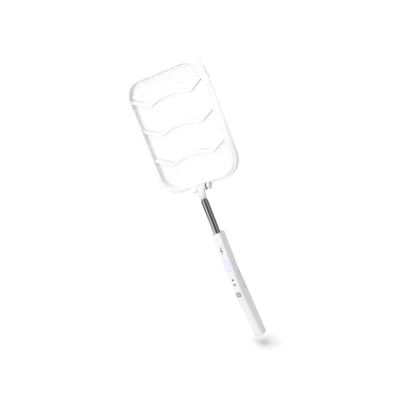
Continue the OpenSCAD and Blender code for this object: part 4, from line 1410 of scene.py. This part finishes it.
lens_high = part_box("indicator_lenses")[1]
lens = lathe("lens", [
    (0, FRONT_Y - 0.05 * MM), (0.9 * MM, FRONT_Y - 0.02 * MM), (1.6 * MM, FRONT_Y + 0.08 * MM),
    (2.0 * MM, FRONT_Y + 0.3 * MM), (2.05 * MM, FRONT_Y + 0.6 * MM),
    (2.05 * MM, lens_high.y - 0.6 * MM), (2.9 * MM, lens_high.y - 0.6 * MM),
    (2.9 * MM, lens_high.y), (0, lens_high.y)], axis="Y", steps=48)
lenses = repeat("lens_pair", lens, [(0, 0, level) for level in LENS_LEVELS], smoked)
place_piece(lenses, smoked, "indicator_lenses")

grip_x = slider_high.x
slider_half = (slider_high.z - slider_low.z) / 2
SLIDER_W = 6 * MM
knob = side_stack("knob", SLIDER_W, 2 * slider_half, [
    (POCKET_X + 0.15 * MM, 0), (grip_x - 0.9 * MM, 0), (grip_x - 0.55 * MM, -0.15 * MM),
    (grip_x - 0.4 * MM, -0.5 * MM)])
ridge = block("ridge", (grip_x - 0.9 * MM, SLIDER_Y - 2.5 * MM, -0.45 * MM),
              (grip_x, SLIDER_Y + 2.5 * MM, 0.45 * MM), 0.22 * MM)
ridges = repeat("ridges", ridge, [(0, 0, slider_z + 2.4 * MM * k) for k in range(-4, 5)],
                shell_white)
catch = block("catch", (slider_low.x, SLIDER_Y - 1.1 * MM, slider_z - 3.5 * MM),
              (POCKET_X + 0.4 * MM, SLIDER_Y + 1.1 * MM, slider_z + 3.5 * MM), 0.2 * MM)
combine(knob, [catch], "UNION")
place_piece(merge("slider_knob", [knob, ridges]), shell_white, "mode_slider")

# %% [markdown]
# Two flat prints sit on the handle's face: a plain lightning bolt under the mouth, and a small
# square label with blank lines. Both are thin sheets that follow the crowned face, and neither
# carries any lettering.


# %% Prints
PRINT_PROUD = 0.06 * MM


def print_patch(name, points, proud=PRINT_PROUD):
    """A thin closed sheet on the front face over a flat outline of (x, z) pairs in mm."""
    obj = make_object(name, [(x * MM, 0, z * MM) for x, z in points], [tuple(range(len(points)))])
    work = bmesh.new()
    work.from_mesh(obj.data)
    for axis in (0, 2):
        low = min(v.co[axis] for v in work.verts)
        high = max(v.co[axis] for v in work.verts)
        cuts = int((high - low) / (1.4 * MM))
        across_axis = Vector((1, 0, 0)) if axis == 0 else Vector((0, 0, 1))
        for k in range(1, cuts):
            bmesh.ops.bisect_plane(work, geom=work.verts[:] + work.edges[:] + work.faces[:],
                                   plane_co=across_axis * (low + (high - low) * k / cuts),
                                   plane_no=across_axis)
    grown = bmesh.ops.extrude_face_region(work, geom=work.faces[:])
    tops = {v for v in grown["geom"] if isinstance(v, bmesh.types.BMVert)}
    for v in work.verts:
        face_y = front_at(v.co.z) + crown(v.co.x)
        v.co.y = face_y + (-proud if v in tops else PRINT_PROUD)
    work.to_mesh(obj.data)
    work.free()
    return clean(obj, 20)


def rounded_box(x, z, half_x, half_z, r):
    return [(p.x, p.y) for p in rounded([(x + half_x, z + half_z, r), (x - half_x, z + half_z, r),
                                         (x - half_x, z - half_z, r), (x + half_x, z - half_z, r)])]


MARK_Z = 208.5
bolt_shape = [(1.9, MARK_Z + 9.6), (-3.6, MARK_Z - 0.8), (-0.7, MARK_Z - 0.8), (-1.9, MARK_Z - 9.6),
              (3.6, MARK_Z + 1.6), (0.6, MARK_Z + 1.6), (3.4, MARK_Z + 9.6)]
mark = print_patch("emblem", bolt_shape)
place_piece(mark, ink, body="handle")
LABEL_Z = 105.4
label = print_patch("label_plate", rounded_box(0, LABEL_Z, 5.6, 5.6, 0.8))
place_piece(label, label_field, body="handle")
label_lines = merge("label_lines", [
    print_patch("line", rounded_box(0, LABEL_Z + z, half, 0.5, 0.2), PRINT_PROUD + 0.05 * MM)
    for z, half in ((3.3, 3.9), (1.1, 3.9), (-1.1, 3.9), (-3.3, 2.4))])
place_piece(label_lines, label_paper, body="handle")

# %% [markdown]
# ## The inside
# The rest of the parts keep the frame's own solids, which already have their true shape, and only
# take a finish.

# %% Finishes on the frame's own parts
inside_finishes = {
    brass: ("grid_terminals",),
    grey_moulding: ("tube_base_plug", "tube_clamps"),
    inner_moulding: ("mouth_collar", "battery_cradles"),
    resin: ("indicator_leds",),
    resist: ("circuit_board", "charge_board"),
    nylon: ("push_switch", "rectifier_diodes", "oscillator_transistor", "controller_chip"),
    steel: ("slide_switch", "battery_tabs"),
    winding: ("step_up_transformer",),
    dipped: ("high_voltage_capacitors",),
    sleeve: ("battery_cell",),
    red_rubber: ("battery_leads",),
}
for material, names in inside_finishes.items():
    for name in names:
        frame["nodes"][name].data.materials.clear()
        frame["nodes"][name].data.materials.append(material)
print("finished inside parts:", sum(len(names) for names in inside_finishes.values()))

# %% Finish
low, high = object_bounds()
